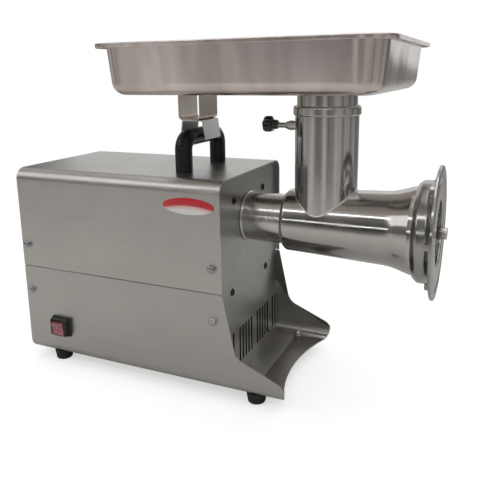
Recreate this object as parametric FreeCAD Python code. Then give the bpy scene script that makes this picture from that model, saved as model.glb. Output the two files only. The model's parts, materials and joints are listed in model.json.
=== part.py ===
import FreeCAD, Part
import math
import os

# Electric meat grinder, in millimetres. X runs from the rear panel to the grinding ring and is measured
# here from the front edge of the cover, Y from the middle plane and Z from the table. save() then moves
# every piece so that the origin lies on the table, under the middle of the whole machine.

V = FreeCAD.Vector
X_AXIS = V(1, 0, 0)
Y_AXIS = V(0, 1, 0)
Z_AXIS = V(0, 0, 1)
SIDES = (-1, 1)

# Housing
HOUSING_LENGTH = 280.0
HOUSING_WIDTH = 180.0
FOOT_HEIGHT = 13.0
COVER_TOP = 253.0
SEAM_Z = 128.4
SEAM_GAP = 0.8
SHEET = 1.5
BEND_RADIUS = 14.0
WING_TIP_X = 73.5
WING_CORNERS = ((31.5, 15.0), (57.0, 18.0))
WING_KNEE_X = 15.0
FLOOR_EDGE_X = 53.0
FRONT_PLATE_X = -5.0
FRONT_PLATE_THICKNESS = 2.0
REAR_PANEL_X = -278.5
PANEL_CLEARANCE = 0.2
FLANGE_WIDTH = 20.0
VENT_WIDTH = 4.2
VENT_PITCH = 8.8
VENT_GROUP_PITCH = 53.6
VENT_GROUP_START = -85.5
VENT_GROUPS = 4
VENTS_IN_GROUP = 5
VENT_LIMIT_Y = 84.5
FRONT_VENT_Z = (20.0, 66.0)
REAR_VENT_Z = ((80.0, 126.0), (142.0, 188.0))
REAR_VENT_HALF_COUNT = 5

# Feet, screws and bolts
FOOT_X = (33.0, -243.0)
FOOT_Y = 72.0
FOOT_RADIUS = 12.0
FOOT_SCREW_RADIUS = 3.0
FOOT_SCREW_HEAD_RADIUS = 5.2
FOOT_SCREW_HEAD_HEIGHT = 3.5
FOOT_SCREW_SLOT_HALF = 0.6
FOOT_SCREW_REACH = 4.5
FOOT_NUT_FLATS = 10.0
FOOT_NUT_HEIGHT = 4.6
FOOT_NUT_DOME_RADIUS = 4.7
SIDE_SCREW_X = (-10.8, -271.0)
SIDE_SCREW_Z = (96.8, 157.0)
SIDE_SCREW_RADIUS = 2.4
SIDE_SCREW_FLATS = 8.0
SIDE_SCREW_HEAD_HEIGHT = 3.4
SIDE_SCREW_REACH = 12.0
WASHER_RADIUS = 5.5
WASHER_THICKNESS = 1.0
FRONT_BOLTS = ((-43.0, 223.6), (43.0, 223.6), (-51.0, 117.0), (51.0, 117.0))
FRONT_BOLT_RADIUS = 3.0
FRONT_BOLT_HEAD_RADIUS = 4.5
FRONT_BOLT_HEAD_HEIGHT = 1.2
FRONT_BOLT_SOCKET_DEPTH = 3.0
FRONT_BOLT_SOCKET_FLATS = 4.0
FRONT_BOLT_REACH = 18.0

# Carrying handle
HANDLE_X = -67.5
HANDLE_HALF_SPAN = 43.5
HANDLE_RADIUS = 10.0
HANDLE_AXIS_Z = 292.0
HANDLE_BEND = 14.0
HANDLE_SCREW_RADIUS = 4.0
HANDLE_SCREW_HEAD_RADIUS = 7.0
HANDLE_SCREW_HEAD_HEIGHT = 4.0
HANDLE_SCREW_REACH = 18.0

# Switch and badge, on the side at -Y
SWITCH_X = -226.8
SWITCH_Z = 53.5
SWITCH_WIDTH = 28.5
SWITCH_HEIGHT = 25.0
SWITCH_DEPTH = 8.0
SWITCH_BODY_DEPTH = 20.0
ROCKER_WIDTH = 17.0
ROCKER_HEIGHT = 16.0
ROCKER_PIVOT_Y = -92.0
ROCKER_TILT = 10.0
ROCKER_PIN_RADIUS = 1.5
BADGE_X = -37.7
BADGE_Z = 224.7
BADGE_LENGTH = 63.0
BADGE_HEIGHT = 18.6
BADGE_THICKNESS = 0.8

# Drive line: the auger, the idler and the motor turn about parallel axes along X
AUGER_Z = 197.0
OUTPUT_TEETH = 41
OUTPUT_MODULE = 2.0
IDLER_PINION_TEETH = 15
IDLER_TEETH = 40
MOTOR_MODULE = 1.5
MOTOR_PINION_TEETH = 14
IDLER_Z = AUGER_Z - OUTPUT_MODULE * (OUTPUT_TEETH + IDLER_PINION_TEETH) / 2
MOTOR_Z = IDLER_Z - MOTOR_MODULE * (IDLER_TEETH + MOTOR_PINION_TEETH) / 2
PRESSURE_ANGLE = math.radians(25)
ADDENDUM = 0.8
DEDENDUM = 1.05
TOOTH_PLAY = 0.15
RUNNING_CLEARANCE = 0.05

# Gearbox
CASE_FRONT_X = -7.0
CASE_REAR_X = -78.0
CASE_HALF_WIDTH = 62.0
CASE_BOTTOM = 81.0
CASE_TOP = 246.0
CASE_CORNER = 20.0
CASE_WALL = 5.0
FRONT_WALL_X = -14.0
COVER_REAR_X = -92.0
CASE_SCREWS = ((54.5, 238.0), (57.0, 165.0), (54.5, 92.0))
CASE_SCREW_RADIUS = 2.5
CASE_SCREW_HEAD_RADIUS = 4.2
CASE_SCREW_HEAD_HEIGHT = 4.5
CASE_BOSS_RADIUS = 6.0
FRONT_BOLT_BOSS_RADIUS = 8.0
FRONT_BEARING_X = (-30.0, -14.0)
REAR_BEARING_X = (-90.0, -78.0)
IDLER_FRONT_BEARING_X = (-25.0, -14.0)
IDLER_REAR_BEARING_X = (-89.0, -78.0)
OUTPUT_GEAR_X = (-52.0, -32.0)
IDLER_GEAR_X = (-72.0, -60.0)
MOTOR_PINION_X = (-74.0, -58.0)
OIL_SEAL_X = (-9.0, -2.0)
OUTPUT_FRONT_BEARING_RADIUS = 31.0
OUTPUT_REAR_BEARING_RADIUS = 20.0
IDLER_BEARING_RADIUS = 17.5
OUTPUT_FRONT_RADIUS = 15.0
OUTPUT_GEAR_SEAT_RADIUS = 17.0
OUTPUT_REAR_RADIUS = 8.5
IDLER_JOURNAL_RADIUS = 7.5
IDLER_SEAT_RADIUS = 10.0
IDLER_PINION_X = (-54.0, -30.0)
SEAL_RADIUS = 22.5
NECK_FLANGE_RADIUS = 38.0
TANG_HALF = 6.4
SOCKET_HALF = 6.45

# Motor
MOTOR_RADIUS = 62.0
MOTOR_WALL = 4.0
MOTOR_FRONT_X = -104.0
MOTOR_REAR_X = -214.0
CORE_FRONT_X = -125.0
CORE_REAR_X = -195.0
ROTOR_RADIUS = 36.0
AIR_GAP = 0.6
FAN_RADIUS = 50.0
FAN_X = (-260.0, -240.0)
FAN_BLADES = 8
MOTOR_FRONT_BEARING_X = (-116.0, -104.0)
MOTOR_REAR_BEARING_X = (-225.0, -214.0)
MOTOR_FRONT_BEARING_RADIUS = 20.0
MOTOR_REAR_BEARING_RADIUS = 17.5
MOTOR_FRONT_JOURNAL_RADIUS = 8.5
MOTOR_REAR_JOURNAL_RADIUS = 7.5
MOTOR_TAIL_RADIUS = 6.0
ROTOR_SEAT_RADIUS = 11.0
REAR_BELL_THICKNESS = 12.0
STATOR_SLOTS = 12
WINDING_RADII = (40.0, 53.0)
MOUNT_X = (-190.0, -130.0)
CAPACITOR_RADIUS = 20.0
CAPACITOR_X = (-205.0, -125.0)
CAPACITOR_Z = MOTOR_Z + MOTOR_RADIUS + 4 + CAPACITOR_RADIUS
CLIP_X = (-178.0, -156.0)

# Neck and grinding head
NECK_RADIUS = 28.9
NECK_BORE = 25.0
NECK_END_X = 44.0
PLUG_REAR_X = 8.0
BARREL_REAR_RADIUS = 35.8
BARREL_WAIST_X = 165.0
BARREL_WAIST_RADIUS = 41.0
BARREL_FLARE_RADIUS = 47.6
BARREL_FRONT_X = 205.0
THREAD_REAR_X = 189.0
THREAD_RADIUS = 46.0
BORE_REAR_X = 52.0
BORE_REAR_RADIUS = 32.3
BORE_WAIST_RADIUS = 37.6
PLATE_SEAT_X = 187.0
PLATE_SEAT_RADIUS = 41.05
BUSH_RADIUS = 18.0
SHANK_RADIUS = 14.0
TUBE_X = 89.2
TUBE_RADIUS = 34.8
TUBE_TOP = 329.0
COLLAR_BOTTOM = 318.4
COLLAR_RADIUS = 36.8
THROAT_RADIUS = 32.7
THROAT_WALL = 1.2
THROAT_BOTTOM = 292.0
THROAT_CLEARANCE = 0.3
FEED_BORE_RADIUS = 30.7

# Auger, knife, plate and ring nut
AUGER_PITCH = 36.0
FLIGHT_THICKNESS = 5.0
FLIGHT_REAR_X = 58.0
FLIGHT_FRONT_X = 184.0
FLIGHT_CLEARANCE = 1.0
SQUARE_HALF = 7.0
KNIFE_X = (187.0, 197.2)
KNIFE_RADIUS = 37.5
PIN_RADIUS = 6.35
PIN_TIP_X = 221.0
PLATE_X = (197.5, 207.5)
PLATE_RADIUS = 40.8
PLATE_HOLE_RADIUS = 4.0
PLATE_HOLE_PITCH = 10.6
KEY_X = 201.0
KEY_RADIUS = 2.25
RING_REAR_X = 190.0
RING_FRONT_X = 213.0
RING_RADIUS = 55.0
RING_BORE = 46.3
RING_LIP_X = 207.8
RING_OPENING = 36.0
DISC_RADIUS = 71.5
DISC_THICKNESS = 3.2
GRIP_LUGS = 6

# Feed tray
TRAY_REAR_X = -129.5
TRAY_FRONT_X = 181.5
TRAY_HALF_WIDTH = 133.5
TRAY_RIM_Z = 396.0
TRAY_BOTTOM = 343.5
TRAY_CORNER = 31.0
TRAY_WALL_CORNER = 30.0
TRAY_RIM_WIDTH = 8.5
TRAY_DRAFT = 5.0
TRAY_BEND = 14.0
BRACKET_X = (-85.0, -56.0)
BRACKET_HALF_LENGTH = 22.5
BRACKET_BOTTOM = 311.0
SADDLE_X = (-82.0, -54.0)
SADDLE_HALF_LENGTH = 20.0
SADDLE_BOTTOM = 288.0
SADDLE_SPLAY = 3.0

# Lock screws: one on the feed tube, pointing to -X, and one on the neck, pointing to +Y
KNOB_LOBES = 5
KNOB_RADIUS = 10.0
PAD_THICKNESS = 2.0
TRAY_LOCK_Z = 306.0
TRAY_LOCK_TIP_X = 56.2
TRAY_LOCK_SCREW_RADIUS = 3.0
TRAY_LOCK_BOSS_X = 42.0
TRAY_KNOB_X = 32.3
TRAY_KNOB_LENGTH = 18.0
HEAD_LOCK_X = 25.0
HEAD_LOCK_TIP_Y = 25.3
HEAD_LOCK_SCREW_RADIUS = 4.0
HEAD_LOCK_BOSS_Y = 40.0
HEAD_KNOB_Y = 50.0
HEAD_KNOB_LENGTH = 20.0

# Cable gland
GLAND_Y = -50.0
GLAND_Z = 48.0
GLAND_BORE = 4.5
GLAND_THREAD_RADIUS = 9.9
GLAND_NOSE_X = -299.0
GLAND_FLANGE_FLATS = 24.0
GLAND_NUT_FLATS = 22.0
GLAND_NOSE_RADIUS = 6.5
GLAND_SHOULDER_RADIUS = 10.5
LOCKNUT_FLATS = 25.0
LOCKNUT_THICKNESS = 5.0

ORIGIN_SHIFT = V(-(GLAND_NOSE_X + PIN_TIP_X) / 2, 0, 0)


# ---------------------------------------------------------------- shape helpers

def box(x0, x1, y0, y1, z0, z1):
    return Part.makeBox(x1 - x0, y1 - y0, z1 - z0, V(x0, y0, z0))


def rod_x(x0, x1, y, z, radius):
    return Part.makeCylinder(radius, x1 - x0, V(x0, y, z), X_AXIS)


def rod_y(x, y0, y1, z, radius):
    return Part.makeCylinder(radius, y1 - y0, V(x, y0, z), Y_AXIS)


def rod_z(x, y, z0, z1, radius):
    return Part.makeCylinder(radius, z1 - z0, V(x, y, z0), Z_AXIS)


def ring_x(x0, x1, z, outer, inner):
    return rod_x(x0, x1, 0, z, outer).cut(rod_x(x0 - 1, x1 + 1, 0, z, inner))


def hexagon_x(x0, x1, y, z, across_flats):
    """A hexagonal bar along X."""
    corner = across_flats / math.sqrt(3)
    turns = [math.radians(60 * i) for i in range(7)]
    points = [V(x0, y + corner * math.cos(a), z + corner * math.sin(a)) for a in turns]
    return Part.Face(Part.makePolygon(points)).extrude(V(x1 - x0, 0, 0))


def outline(corners, place):
    """A flat face from (u, v, radius) corners. place(u, v) gives the point in space."""
    count = len(corners)
    runs = []
    for i, (u, v, radius) in enumerate(corners):
        before = corners[i - 1]
        after = corners[(i + 1) % count]
        back = V(before[0] - u, before[1] - v, 0).normalize()
        ahead = V(after[0] - u, after[1] - v, 0).normalize()
        half_angle = back.getAngle(ahead) / 2
        corner = V(u, v, 0)
        if radius == 0:
            runs.append((corner, None, corner))
            continue
        bisector = (back + ahead).normalize()
        setback = radius / math.tan(half_angle)
        centre = corner + bisector * (radius / math.sin(half_angle))
        runs.append((corner + back * setback, centre - bisector * radius, corner + ahead * setback))
    edges = []
    for i, (start, middle, end) in enumerate(runs):
        following = runs[(i + 1) % count][0]
        if middle is not None:
            points = [place(p.x, p.y) for p in (start, middle, end)]
            edges.append(Part.Arc(*points).toShape())
        if (following - end).Length > 1e-6:
            edges.append(Part.makeLine(place(end.x, end.y), place(following.x, following.y)))
    return Part.Face(Part.Wire(edges))


def prism_x(corners, x0, x1):
    """Corners are (y, z, radius)."""
    return outline(corners, lambda u, v: V(x0, u, v)).extrude(V(x1 - x0, 0, 0))


def prism_y(corners, y0, y1):
    """Corners are (x, z, radius)."""
    return outline(corners, lambda u, v: V(u, y0, v)).extrude(V(0, y1 - y0, 0))


def prism_z(corners, z0, z1):
    """Corners are (x, y, radius)."""
    return outline(corners, lambda u, v: V(u, v, z0)).extrude(V(0, 0, z1 - z0))


def rectangle(u0, u1, v0, v1, radius):
    return ((u0, v0, radius), (u1, v0, radius), (u1, v1, radius), (u0, v1, radius))


def turned_x(corners, z=AUGER_Z):
    """A solid turned about the line y = 0 at height z. Corners are (x, radius from the line, round)."""
    profile = outline(corners, lambda u, v: V(u, 0, z + v))
    return profile.revolve(V(0, 0, z), X_AXIS, 360)


def turned_z(corners, x, y):
    """A solid turned about a vertical line. Corners are (radius from the line, z, round)."""
    profile = outline(corners, lambda u, v: V(x + u, y, v))
    return profile.revolve(V(x, y, 0), Z_AXIS, 360)


def fused(shapes):
    return shapes[0].multiFuse(shapes[1:]).removeSplitter() if len(shapes) > 1 else shapes[0]


def gear_x(x0, x1, z, teeth, module, first_tooth):
    """A spur gear along X. first_tooth is the angle of one tooth's middle, in degrees from +Y to +Z."""
    pitch_radius = module * teeth / 2
    base_radius = pitch_radius * math.cos(PRESSURE_ANGLE)
    root_radius = pitch_radius - DEDENDUM * module
    tip_radius = pitch_radius + ADDENDUM * module
    pitch_half = (math.pi * module / 2 - TOOTH_PLAY) / (2 * pitch_radius)
    start_radius = max(base_radius, root_radius)
    flank = []
    steps = 4
    for i in range(steps + 1):
        radius = start_radius + (tip_radius - start_radius) * i / steps
        slope = math.acos(min(1, base_radius / radius))
        involute = (math.tan(PRESSURE_ANGLE) - PRESSURE_ANGLE) - (math.tan(slope) - slope)
        flank.append((radius, pitch_half + involute))
    if root_radius < start_radius:
        flank.insert(0, (root_radius, flank[0][1]))
    points = []
    for tooth in range(teeth):
        middle = math.radians(first_tooth) + 2 * math.pi * tooth / teeth
        rising = [(radius, middle - half) for radius, half in flank]
        falling = [(radius, middle + half) for radius, half in reversed(flank)]
        for radius, angle in rising + falling:
            points.append(V(x0, radius * math.cos(angle), z + radius * math.sin(angle)))
    points.append(points[0])
    return Part.Face(Part.makePolygon(points)).extrude(V(x1 - x0, 0, 0))


def lobed_knob(length):
    """A lobed knob on the X axis, its hub at x = 0 and its head towards -X."""
    head_length = length * 0.66
    head = rod_x(-length, head_length - length, 0, 0, KNOB_RADIUS * 0.72)
    lobe_radius = KNOB_RADIUS * 0.36
    for i in range(KNOB_LOBES):
        angle = 2 * math.pi * i / KNOB_LOBES + math.pi / 2
        reach = KNOB_RADIUS - lobe_radius
        y = reach * math.cos(angle)
        z = reach * math.sin(angle)
        head = head.fuse(rod_x(-length, head_length - length, y, z, lobe_radius))
    hub = Part.makeCone(KNOB_RADIUS * 0.55, KNOB_RADIUS * 0.45, length - head_length,
                        V(head_length - length, 0, 0), X_AXIS)
    return head.fuse(hub).removeSplitter()


# ---------------------------------------------------------------- housing

def base_tray():
    half = HOUSING_WIDTH / 2
    rear = -HOUSING_LENGTH
    tall = COVER_TOP
    outer = ((-half, FOOT_HEIGHT, BEND_RADIUS), (half, FOOT_HEIGHT, BEND_RADIUS), (half, tall, 0),
             (-half, tall, 0))
    inner_half = half - SHEET
    inner_floor = FOOT_HEIGHT + SHEET
    inner_bend = BEND_RADIUS - SHEET
    inner = ((-inner_half, inner_floor, inner_bend), (inner_half, inner_floor, inner_bend),
             (inner_half, tall + 1, 0), (-inner_half, tall + 1, 0))
    channel = prism_x(outer, rear, WING_TIP_X + 5).cut(prism_x(inner, rear - 1, WING_TIP_X + 6))
    seam = SEAM_Z - SEAM_GAP / 2
    (tip_z, tip_round), (knee_z, knee_round) = WING_CORNERS
    side_view = ((rear, 0, 0), (WING_TIP_X + 1, 0, 0), (WING_TIP_X + 1, tip_z, tip_round),
                 (WING_KNEE_X, knee_z, knee_round), (0, seam, 3), (rear, seam, 0))
    channel = channel.common(prism_y(side_view, -half - 1, half + 1))
    front_edge = Part.Arc(V(WING_TIP_X, -half - 1, 0), V(FLOOR_EDGE_X, 0, 0),
                          V(WING_TIP_X, half + 1, 0)).toShape()
    straight = Part.makePolygon([V(WING_TIP_X, half + 1, 0), V(rear, half + 1, 0),
                                 V(rear, -half - 1, 0), V(WING_TIP_X, -half - 1, 0)])
    plan_view = Part.Face(Part.Wire([front_edge] + straight.Edges))
    shell = channel.common(plan_view.extrude(V(0, 0, COVER_TOP)))
    body_half_x = SWITCH_WIDTH / 2 - 2
    body_half_z = SWITCH_HEIGHT / 2 - 2
    cuts = [box(SWITCH_X - body_half_x, SWITCH_X + body_half_x, -half - 1, -half + 5,
                SWITCH_Z - body_half_z, SWITCH_Z + body_half_z)]
    for x in FOOT_X:
        for side in SIDES:
            cuts.append(rod_z(x, side * FOOT_Y, 0, FOOT_HEIGHT + 5, FOOT_SCREW_RADIUS))
    for x in SIDE_SCREW_X:
        cuts.append(rod_y(x, -half - 1, half + 1, SIDE_SCREW_Z[0], SIDE_SCREW_RADIUS))
    return shell.cut(fused(cuts))


def top_cover():
    half = HOUSING_WIDTH / 2
    seam = SEAM_Z + SEAM_GAP / 2
    outer = ((-half, seam, 0), (half, seam, 0), (half, COVER_TOP, BEND_RADIUS),
             (-half, COVER_TOP, BEND_RADIUS))
    inner_half = half - SHEET
    inner_bend = BEND_RADIUS - SHEET
    inner_top = COVER_TOP - SHEET
    inner = ((-inner_half, seam - 1, 0), (inner_half, seam - 1, 0), (inner_half, inner_top, inner_bend),
             (-inner_half, inner_top, inner_bend))
    shell = prism_x(outer, -HOUSING_LENGTH, 0).cut(prism_x(inner, -HOUSING_LENGTH - 1, 1))
    for x in SIDE_SCREW_X:
        shell = shell.cut(rod_y(x, -half - 1, half + 1, SIDE_SCREW_Z[1], SIDE_SCREW_RADIUS))
    for side in SIDES:
        hole = rod_z(HANDLE_X, side * HANDLE_HALF_SPAN, COVER_TOP - 5, COVER_TOP + 1, HANDLE_SCREW_RADIUS)
        shell = shell.cut(hole)
    return shell


def end_sheet(x0, x1, flange_x0, flange_x1):
    """A rounded sheet that closes one end of the housing, with a flange along each side."""
    half = HOUSING_WIDTH / 2 - SHEET - PANEL_CLEARANCE
    low = FOOT_HEIGHT + SHEET + PANEL_CLEARANCE
    high = COVER_TOP - SHEET - PANEL_CLEARANCE
    corner = BEND_RADIUS - SHEET - PANEL_CLEARANCE
    pieces = [prism_x(rectangle(-half, half, low, high, corner), x0, x1)]
    flange_low = low + corner + 3
    flange_high = high - corner - 3
    for side in SIDES:
        edge = sorted((side * half, side * (half - SHEET)))
        pieces.append(box(flange_x0, flange_x1, edge[0], edge[1], flange_low, flange_high))
    sheet = fused(pieces)
    screw_x = min(SIDE_SCREW_X, key=lambda x: abs(x - (flange_x0 + flange_x1) / 2))
    for z in SIDE_SCREW_Z:
        sheet = sheet.cut(rod_y(screw_x, -half - 1, half + 1, z, SIDE_SCREW_RADIUS))
    return sheet


def vent(x0, x1, y, height):
    """An upright slot with round ends through a sheet from x0 to x1."""
    half = VENT_WIDTH / 2
    return prism_x(rectangle(y - half, y + half, height[0], height[1], half - 0.01), x0 - 1, x1 + 1)


def front_plate():
    x1 = FRONT_PLATE_X
    x0 = x1 - FRONT_PLATE_THICKNESS
    plate = end_sheet(x0, x1, x0 - FLANGE_WIDTH, x0)
    cuts = [rod_x(x0 - 1, x1 + 1, 0, AUGER_Z, NECK_RADIUS + 0.2)]
    for group in range(VENT_GROUPS):
        for i in range(VENTS_IN_GROUP):
            y = VENT_GROUP_START + group * VENT_GROUP_PITCH + i * VENT_PITCH
            if abs(y) < VENT_LIMIT_Y:
                cuts.append(vent(x0, x1, y, FRONT_VENT_Z))
    for y, z in FRONT_BOLTS:
        cuts.append(rod_x(x0 - 1, x1 + 1, y, z, FRONT_BOLT_RADIUS))
    return plate.cut(Part.makeCompound(cuts))


def rear_panel():
    x0 = REAR_PANEL_X
    x1 = x0 + SHEET
    panel = end_sheet(x0, x1, x1, x1 + FLANGE_WIDTH)
    cuts = [rod_x(x0 - 1, x1 + 1, GLAND_Y, GLAND_Z, GLAND_THREAD_RADIUS)]
    for height in REAR_VENT_Z:
        for i in range(-REAR_VENT_HALF_COUNT, REAR_VENT_HALF_COUNT + 1):
            cuts.append(vent(x0, x1, i * VENT_PITCH, height))
    return panel.cut(Part.makeCompound(cuts))


def rubber_feet():
    feet = []
    bore = FOOT_SCREW_RADIUS
    recess = FOOT_SCREW_RADIUS * 2
    for x in FOOT_X:
        for side in SIDES:
            corners = ((recess, 0, 0), (FOOT_RADIUS - 1, 0, 1.5), (FOOT_RADIUS, FOOT_HEIGHT, 1),
                       (bore, FOOT_HEIGHT, 0), (bore, FOOT_HEIGHT / 2, 0), (recess, FOOT_HEIGHT / 2, 0))
            feet.append(turned_z(corners, x, side * FOOT_Y))
    return Part.makeCompound(feet)


def foot_screws():
    screws = []
    top = FOOT_HEIGHT / 2
    reach = FOOT_SCREW_HEAD_RADIUS + 0.1
    slot_top = top - FOOT_SCREW_HEAD_HEIGHT + 1.1
    for x in FOOT_X:
        for side in SIDES:
            y = side * FOOT_Y
            head = rod_z(x, y, top - FOOT_SCREW_HEAD_HEIGHT, top, FOOT_SCREW_HEAD_RADIUS)
            slot = box(x - reach, x + reach, y - FOOT_SCREW_SLOT_HALF, y + FOOT_SCREW_SLOT_HALF, 0, slot_top)
            shank = rod_z(x, y, top, FOOT_HEIGHT + SHEET + FOOT_SCREW_REACH, FOOT_SCREW_RADIUS)
            screws.append(fused([head, shank]).cut(slot))
    return Part.makeCompound(screws)


def foot_nuts():
    nuts = []
    floor = FOOT_HEIGHT + SHEET
    corner = FOOT_NUT_FLATS / math.sqrt(3)
    turns = [math.radians(60 * i) for i in range(7)]
    for x in FOOT_X:
        for side in SIDES:
            y = side * FOOT_Y
            points = [V(x + corner * math.cos(a), y + corner * math.sin(a), floor) for a in turns]
            hexagon = Part.Face(Part.makePolygon(points)).extrude(V(0, 0, FOOT_NUT_HEIGHT))
            dome = Part.makeSphere(FOOT_NUT_DOME_RADIUS, V(x, y, floor + FOOT_NUT_HEIGHT - 0.2))
            shank = rod_z(x, y, floor - 1, floor + FOOT_SCREW_REACH, FOOT_SCREW_RADIUS)
            above = box(x - corner, x + corner, y - corner, y + corner, floor, floor + 2 * FOOT_NUT_FLATS)
            nuts.append(hexagon.fuse(dome).common(above).cut(shank))
    return Part.makeCompound(nuts)


def side_fastening(make):
    """One copy of a piece at each side screw. make(x, z) builds it on the side at -Y."""
    pieces = []
    for x in SIDE_SCREW_X:
        for z in SIDE_SCREW_Z:
            piece = make(x, z)
            pieces += [piece, piece.mirror(V(0, 0, 0), Y_AXIS)]
    return Part.makeCompound(pieces)


def side_screw(x, z):
    sheet_face = -HOUSING_WIDTH / 2
    face = sheet_face - WASHER_THICKNESS
    height = SIDE_SCREW_HEAD_HEIGHT
    head = hexagon_x(0, height, 0, 0, SIDE_SCREW_FLATS)
    head.rotate(V(0, 0, 0), Z_AXIS, -90)
    head.translate(V(x, face, z))
    crown = Part.makeCone(SIDE_SCREW_FLATS / 2 + 1, height, height, V(x, face, z), V(0, -1, 0))
    shank = rod_y(x, face, sheet_face + SIDE_SCREW_REACH, z, SIDE_SCREW_RADIUS)
    return fused([head.common(crown), shank])


def side_washer(x, z):
    face = -HOUSING_WIDTH / 2
    washer = rod_y(x, face - WASHER_THICKNESS, face, z, WASHER_RADIUS)
    return washer.cut(rod_y(x, face - 2, face + 1, z, SIDE_SCREW_RADIUS))


def front_bolts():
    bolts = []
    for y, z in FRONT_BOLTS:
        top = FRONT_PLATE_X + FRONT_BOLT_HEAD_HEIGHT
        head = rod_x(FRONT_PLATE_X, top, y, z, FRONT_BOLT_HEAD_RADIUS)
        shank = rod_x(FRONT_PLATE_X - FRONT_BOLT_REACH, FRONT_PLATE_X, y, z, FRONT_BOLT_RADIUS)
        socket = hexagon_x(top - FRONT_BOLT_SOCKET_DEPTH, top + 1, y, z, FRONT_BOLT_SOCKET_FLATS)
        bolts.append(fused([head, shank]).cut(socket))
    return Part.makeCompound(bolts)


def carry_handle():
    span = HANDLE_HALF_SPAN
    top = HANDLE_AXIS_Z
    bend = HANDLE_BEND
    knee = bend * (1 - math.sqrt(0.5))
    feet_z = COVER_TOP
    path = Part.Wire([
        Part.makeLine(V(HANDLE_X, -span, feet_z), V(HANDLE_X, -span, top - bend)),
        Part.Arc(V(HANDLE_X, -span, top - bend), V(HANDLE_X, knee - span, top - knee),
                 V(HANDLE_X, bend - span, top)).toShape(),
        Part.makeLine(V(HANDLE_X, bend - span, top), V(HANDLE_X, span - bend, top)),
        Part.Arc(V(HANDLE_X, span - bend, top), V(HANDLE_X, span - knee, top - knee),
                 V(HANDLE_X, span, top - bend)).toShape(),
        Part.makeLine(V(HANDLE_X, span, top - bend), V(HANDLE_X, span, feet_z)),
    ])
    profile = Part.Wire(Part.makeCircle(HANDLE_RADIUS, V(HANDLE_X, -span, feet_z), Z_AXIS))
    bar = path.makePipeShell([profile], True, True)
    hole_top = feet_z + HANDLE_SCREW_REACH + 2
    for side in SIDES:
        bar = bar.cut(rod_z(HANDLE_X, side * span, feet_z - 1, hole_top, HANDLE_SCREW_RADIUS))
    return bar


def handle_screws():
    screws = []
    under = COVER_TOP - SHEET
    for side in SIDES:
        y = side * HANDLE_HALF_SPAN
        head = rod_z(HANDLE_X, y, under - HANDLE_SCREW_HEAD_HEIGHT, under, HANDLE_SCREW_HEAD_RADIUS)
        shank = rod_z(HANDLE_X, y, under, COVER_TOP + HANDLE_SCREW_REACH, HANDLE_SCREW_RADIUS)
        screws.append(fused([head, shank]))
    return Part.makeCompound(screws)


# ---------------------------------------------------------------- switch, badge and gland

def switch_frame():
    half_x = SWITCH_WIDTH / 2
    half_z = SWITCH_HEIGHT / 2
    face = -HOUSING_WIDTH / 2
    bezel_view = rectangle(SWITCH_X - half_x, SWITCH_X + half_x, SWITCH_Z - half_z, SWITCH_Z + half_z, 2)
    bezel = prism_y(bezel_view, face - SWITCH_DEPTH, face)
    body = box(SWITCH_X - half_x + 2, SWITCH_X + half_x - 2, face, face + SWITCH_BODY_DEPTH,
               SWITCH_Z - half_z + 2, SWITCH_Z + half_z - 2)
    pocket_x = ROCKER_WIDTH / 2 + 0.5
    pocket_z = ROCKER_HEIGHT / 2 + 1.6
    pocket = box(SWITCH_X - pocket_x, SWITCH_X + pocket_x, face - SWITCH_DEPTH - 1, face + 8,
                 SWITCH_Z - pocket_z, SWITCH_Z + pocket_z)
    pivot = rod_x(SWITCH_X - pocket_x - 1.5, SWITCH_X + pocket_x + 1.5, ROCKER_PIVOT_Y, SWITCH_Z,
                  ROCKER_PIN_RADIUS + RUNNING_CLEARANCE)
    return fused([bezel, body]).cut(pocket).cut(pivot)


def switch_rocker():
    half = ROCKER_HEIGHT / 2
    y = ROCKER_PIVOT_Y
    side_view = ((y - 8.2, SWITCH_Z - half, 1), (y - 6.8, SWITCH_Z, 6), (y - 8.2, SWITCH_Z + half, 1),
                 (y - 1, SWITCH_Z + half, 0), (y + 5.5, SWITCH_Z + 3, 2), (y + 5.5, SWITCH_Z - 3, 2),
                 (y - 1, SWITCH_Z - half, 0))
    half_width = ROCKER_WIDTH / 2
    key = prism_x(side_view, SWITCH_X - half_width, SWITCH_X + half_width)
    pin = rod_x(SWITCH_X - half_width - 1.6, SWITCH_X + half_width + 1.6, y, SWITCH_Z, ROCKER_PIN_RADIUS)
    rocker = fused([key, pin])
    rocker.rotate(V(SWITCH_X, y, SWITCH_Z), X_AXIS, ROCKER_TILT)
    return rocker


def name_badge():
    ellipse = Part.Ellipse(V(0, 0, 0), BADGE_LENGTH / 2, BADGE_HEIGHT / 2).toShape()
    badge = Part.Face(Part.Wire(ellipse)).extrude(V(0, 0, BADGE_THICKNESS))
    badge.rotate(V(0, 0, 0), X_AXIS, 90)
    badge.translate(V(BADGE_X, -HOUSING_WIDTH / 2, BADGE_Z))
    return badge


def cable_gland():
    outer_face = REAR_PANEL_X
    flange_x = outer_face - 5.5
    nut_x = GLAND_NOSE_X + 5
    flange = hexagon_x(flange_x, outer_face, GLAND_Y, GLAND_Z, GLAND_FLANGE_FLATS)
    thread = rod_x(outer_face, outer_face + 12, GLAND_Y, GLAND_Z, GLAND_THREAD_RADIUS)
    nut = hexagon_x(nut_x, flange_x - 1, GLAND_Y, GLAND_Z, GLAND_NUT_FLATS)
    neck = rod_x(flange_x - 1.5, flange_x + 0.5, GLAND_Y, GLAND_Z, GLAND_THREAD_RADIUS)
    nose = Part.makeCone(GLAND_NOSE_RADIUS, GLAND_SHOULDER_RADIUS, nut_x - GLAND_NOSE_X + 0.5,
                         V(GLAND_NOSE_X, GLAND_Y, GLAND_Z), X_AXIS)
    bore = rod_x(GLAND_NOSE_X - 1, outer_face + 13, GLAND_Y, GLAND_Z, GLAND_BORE)
    return fused([flange, thread, nut, neck, nose]).cut(bore)


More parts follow.
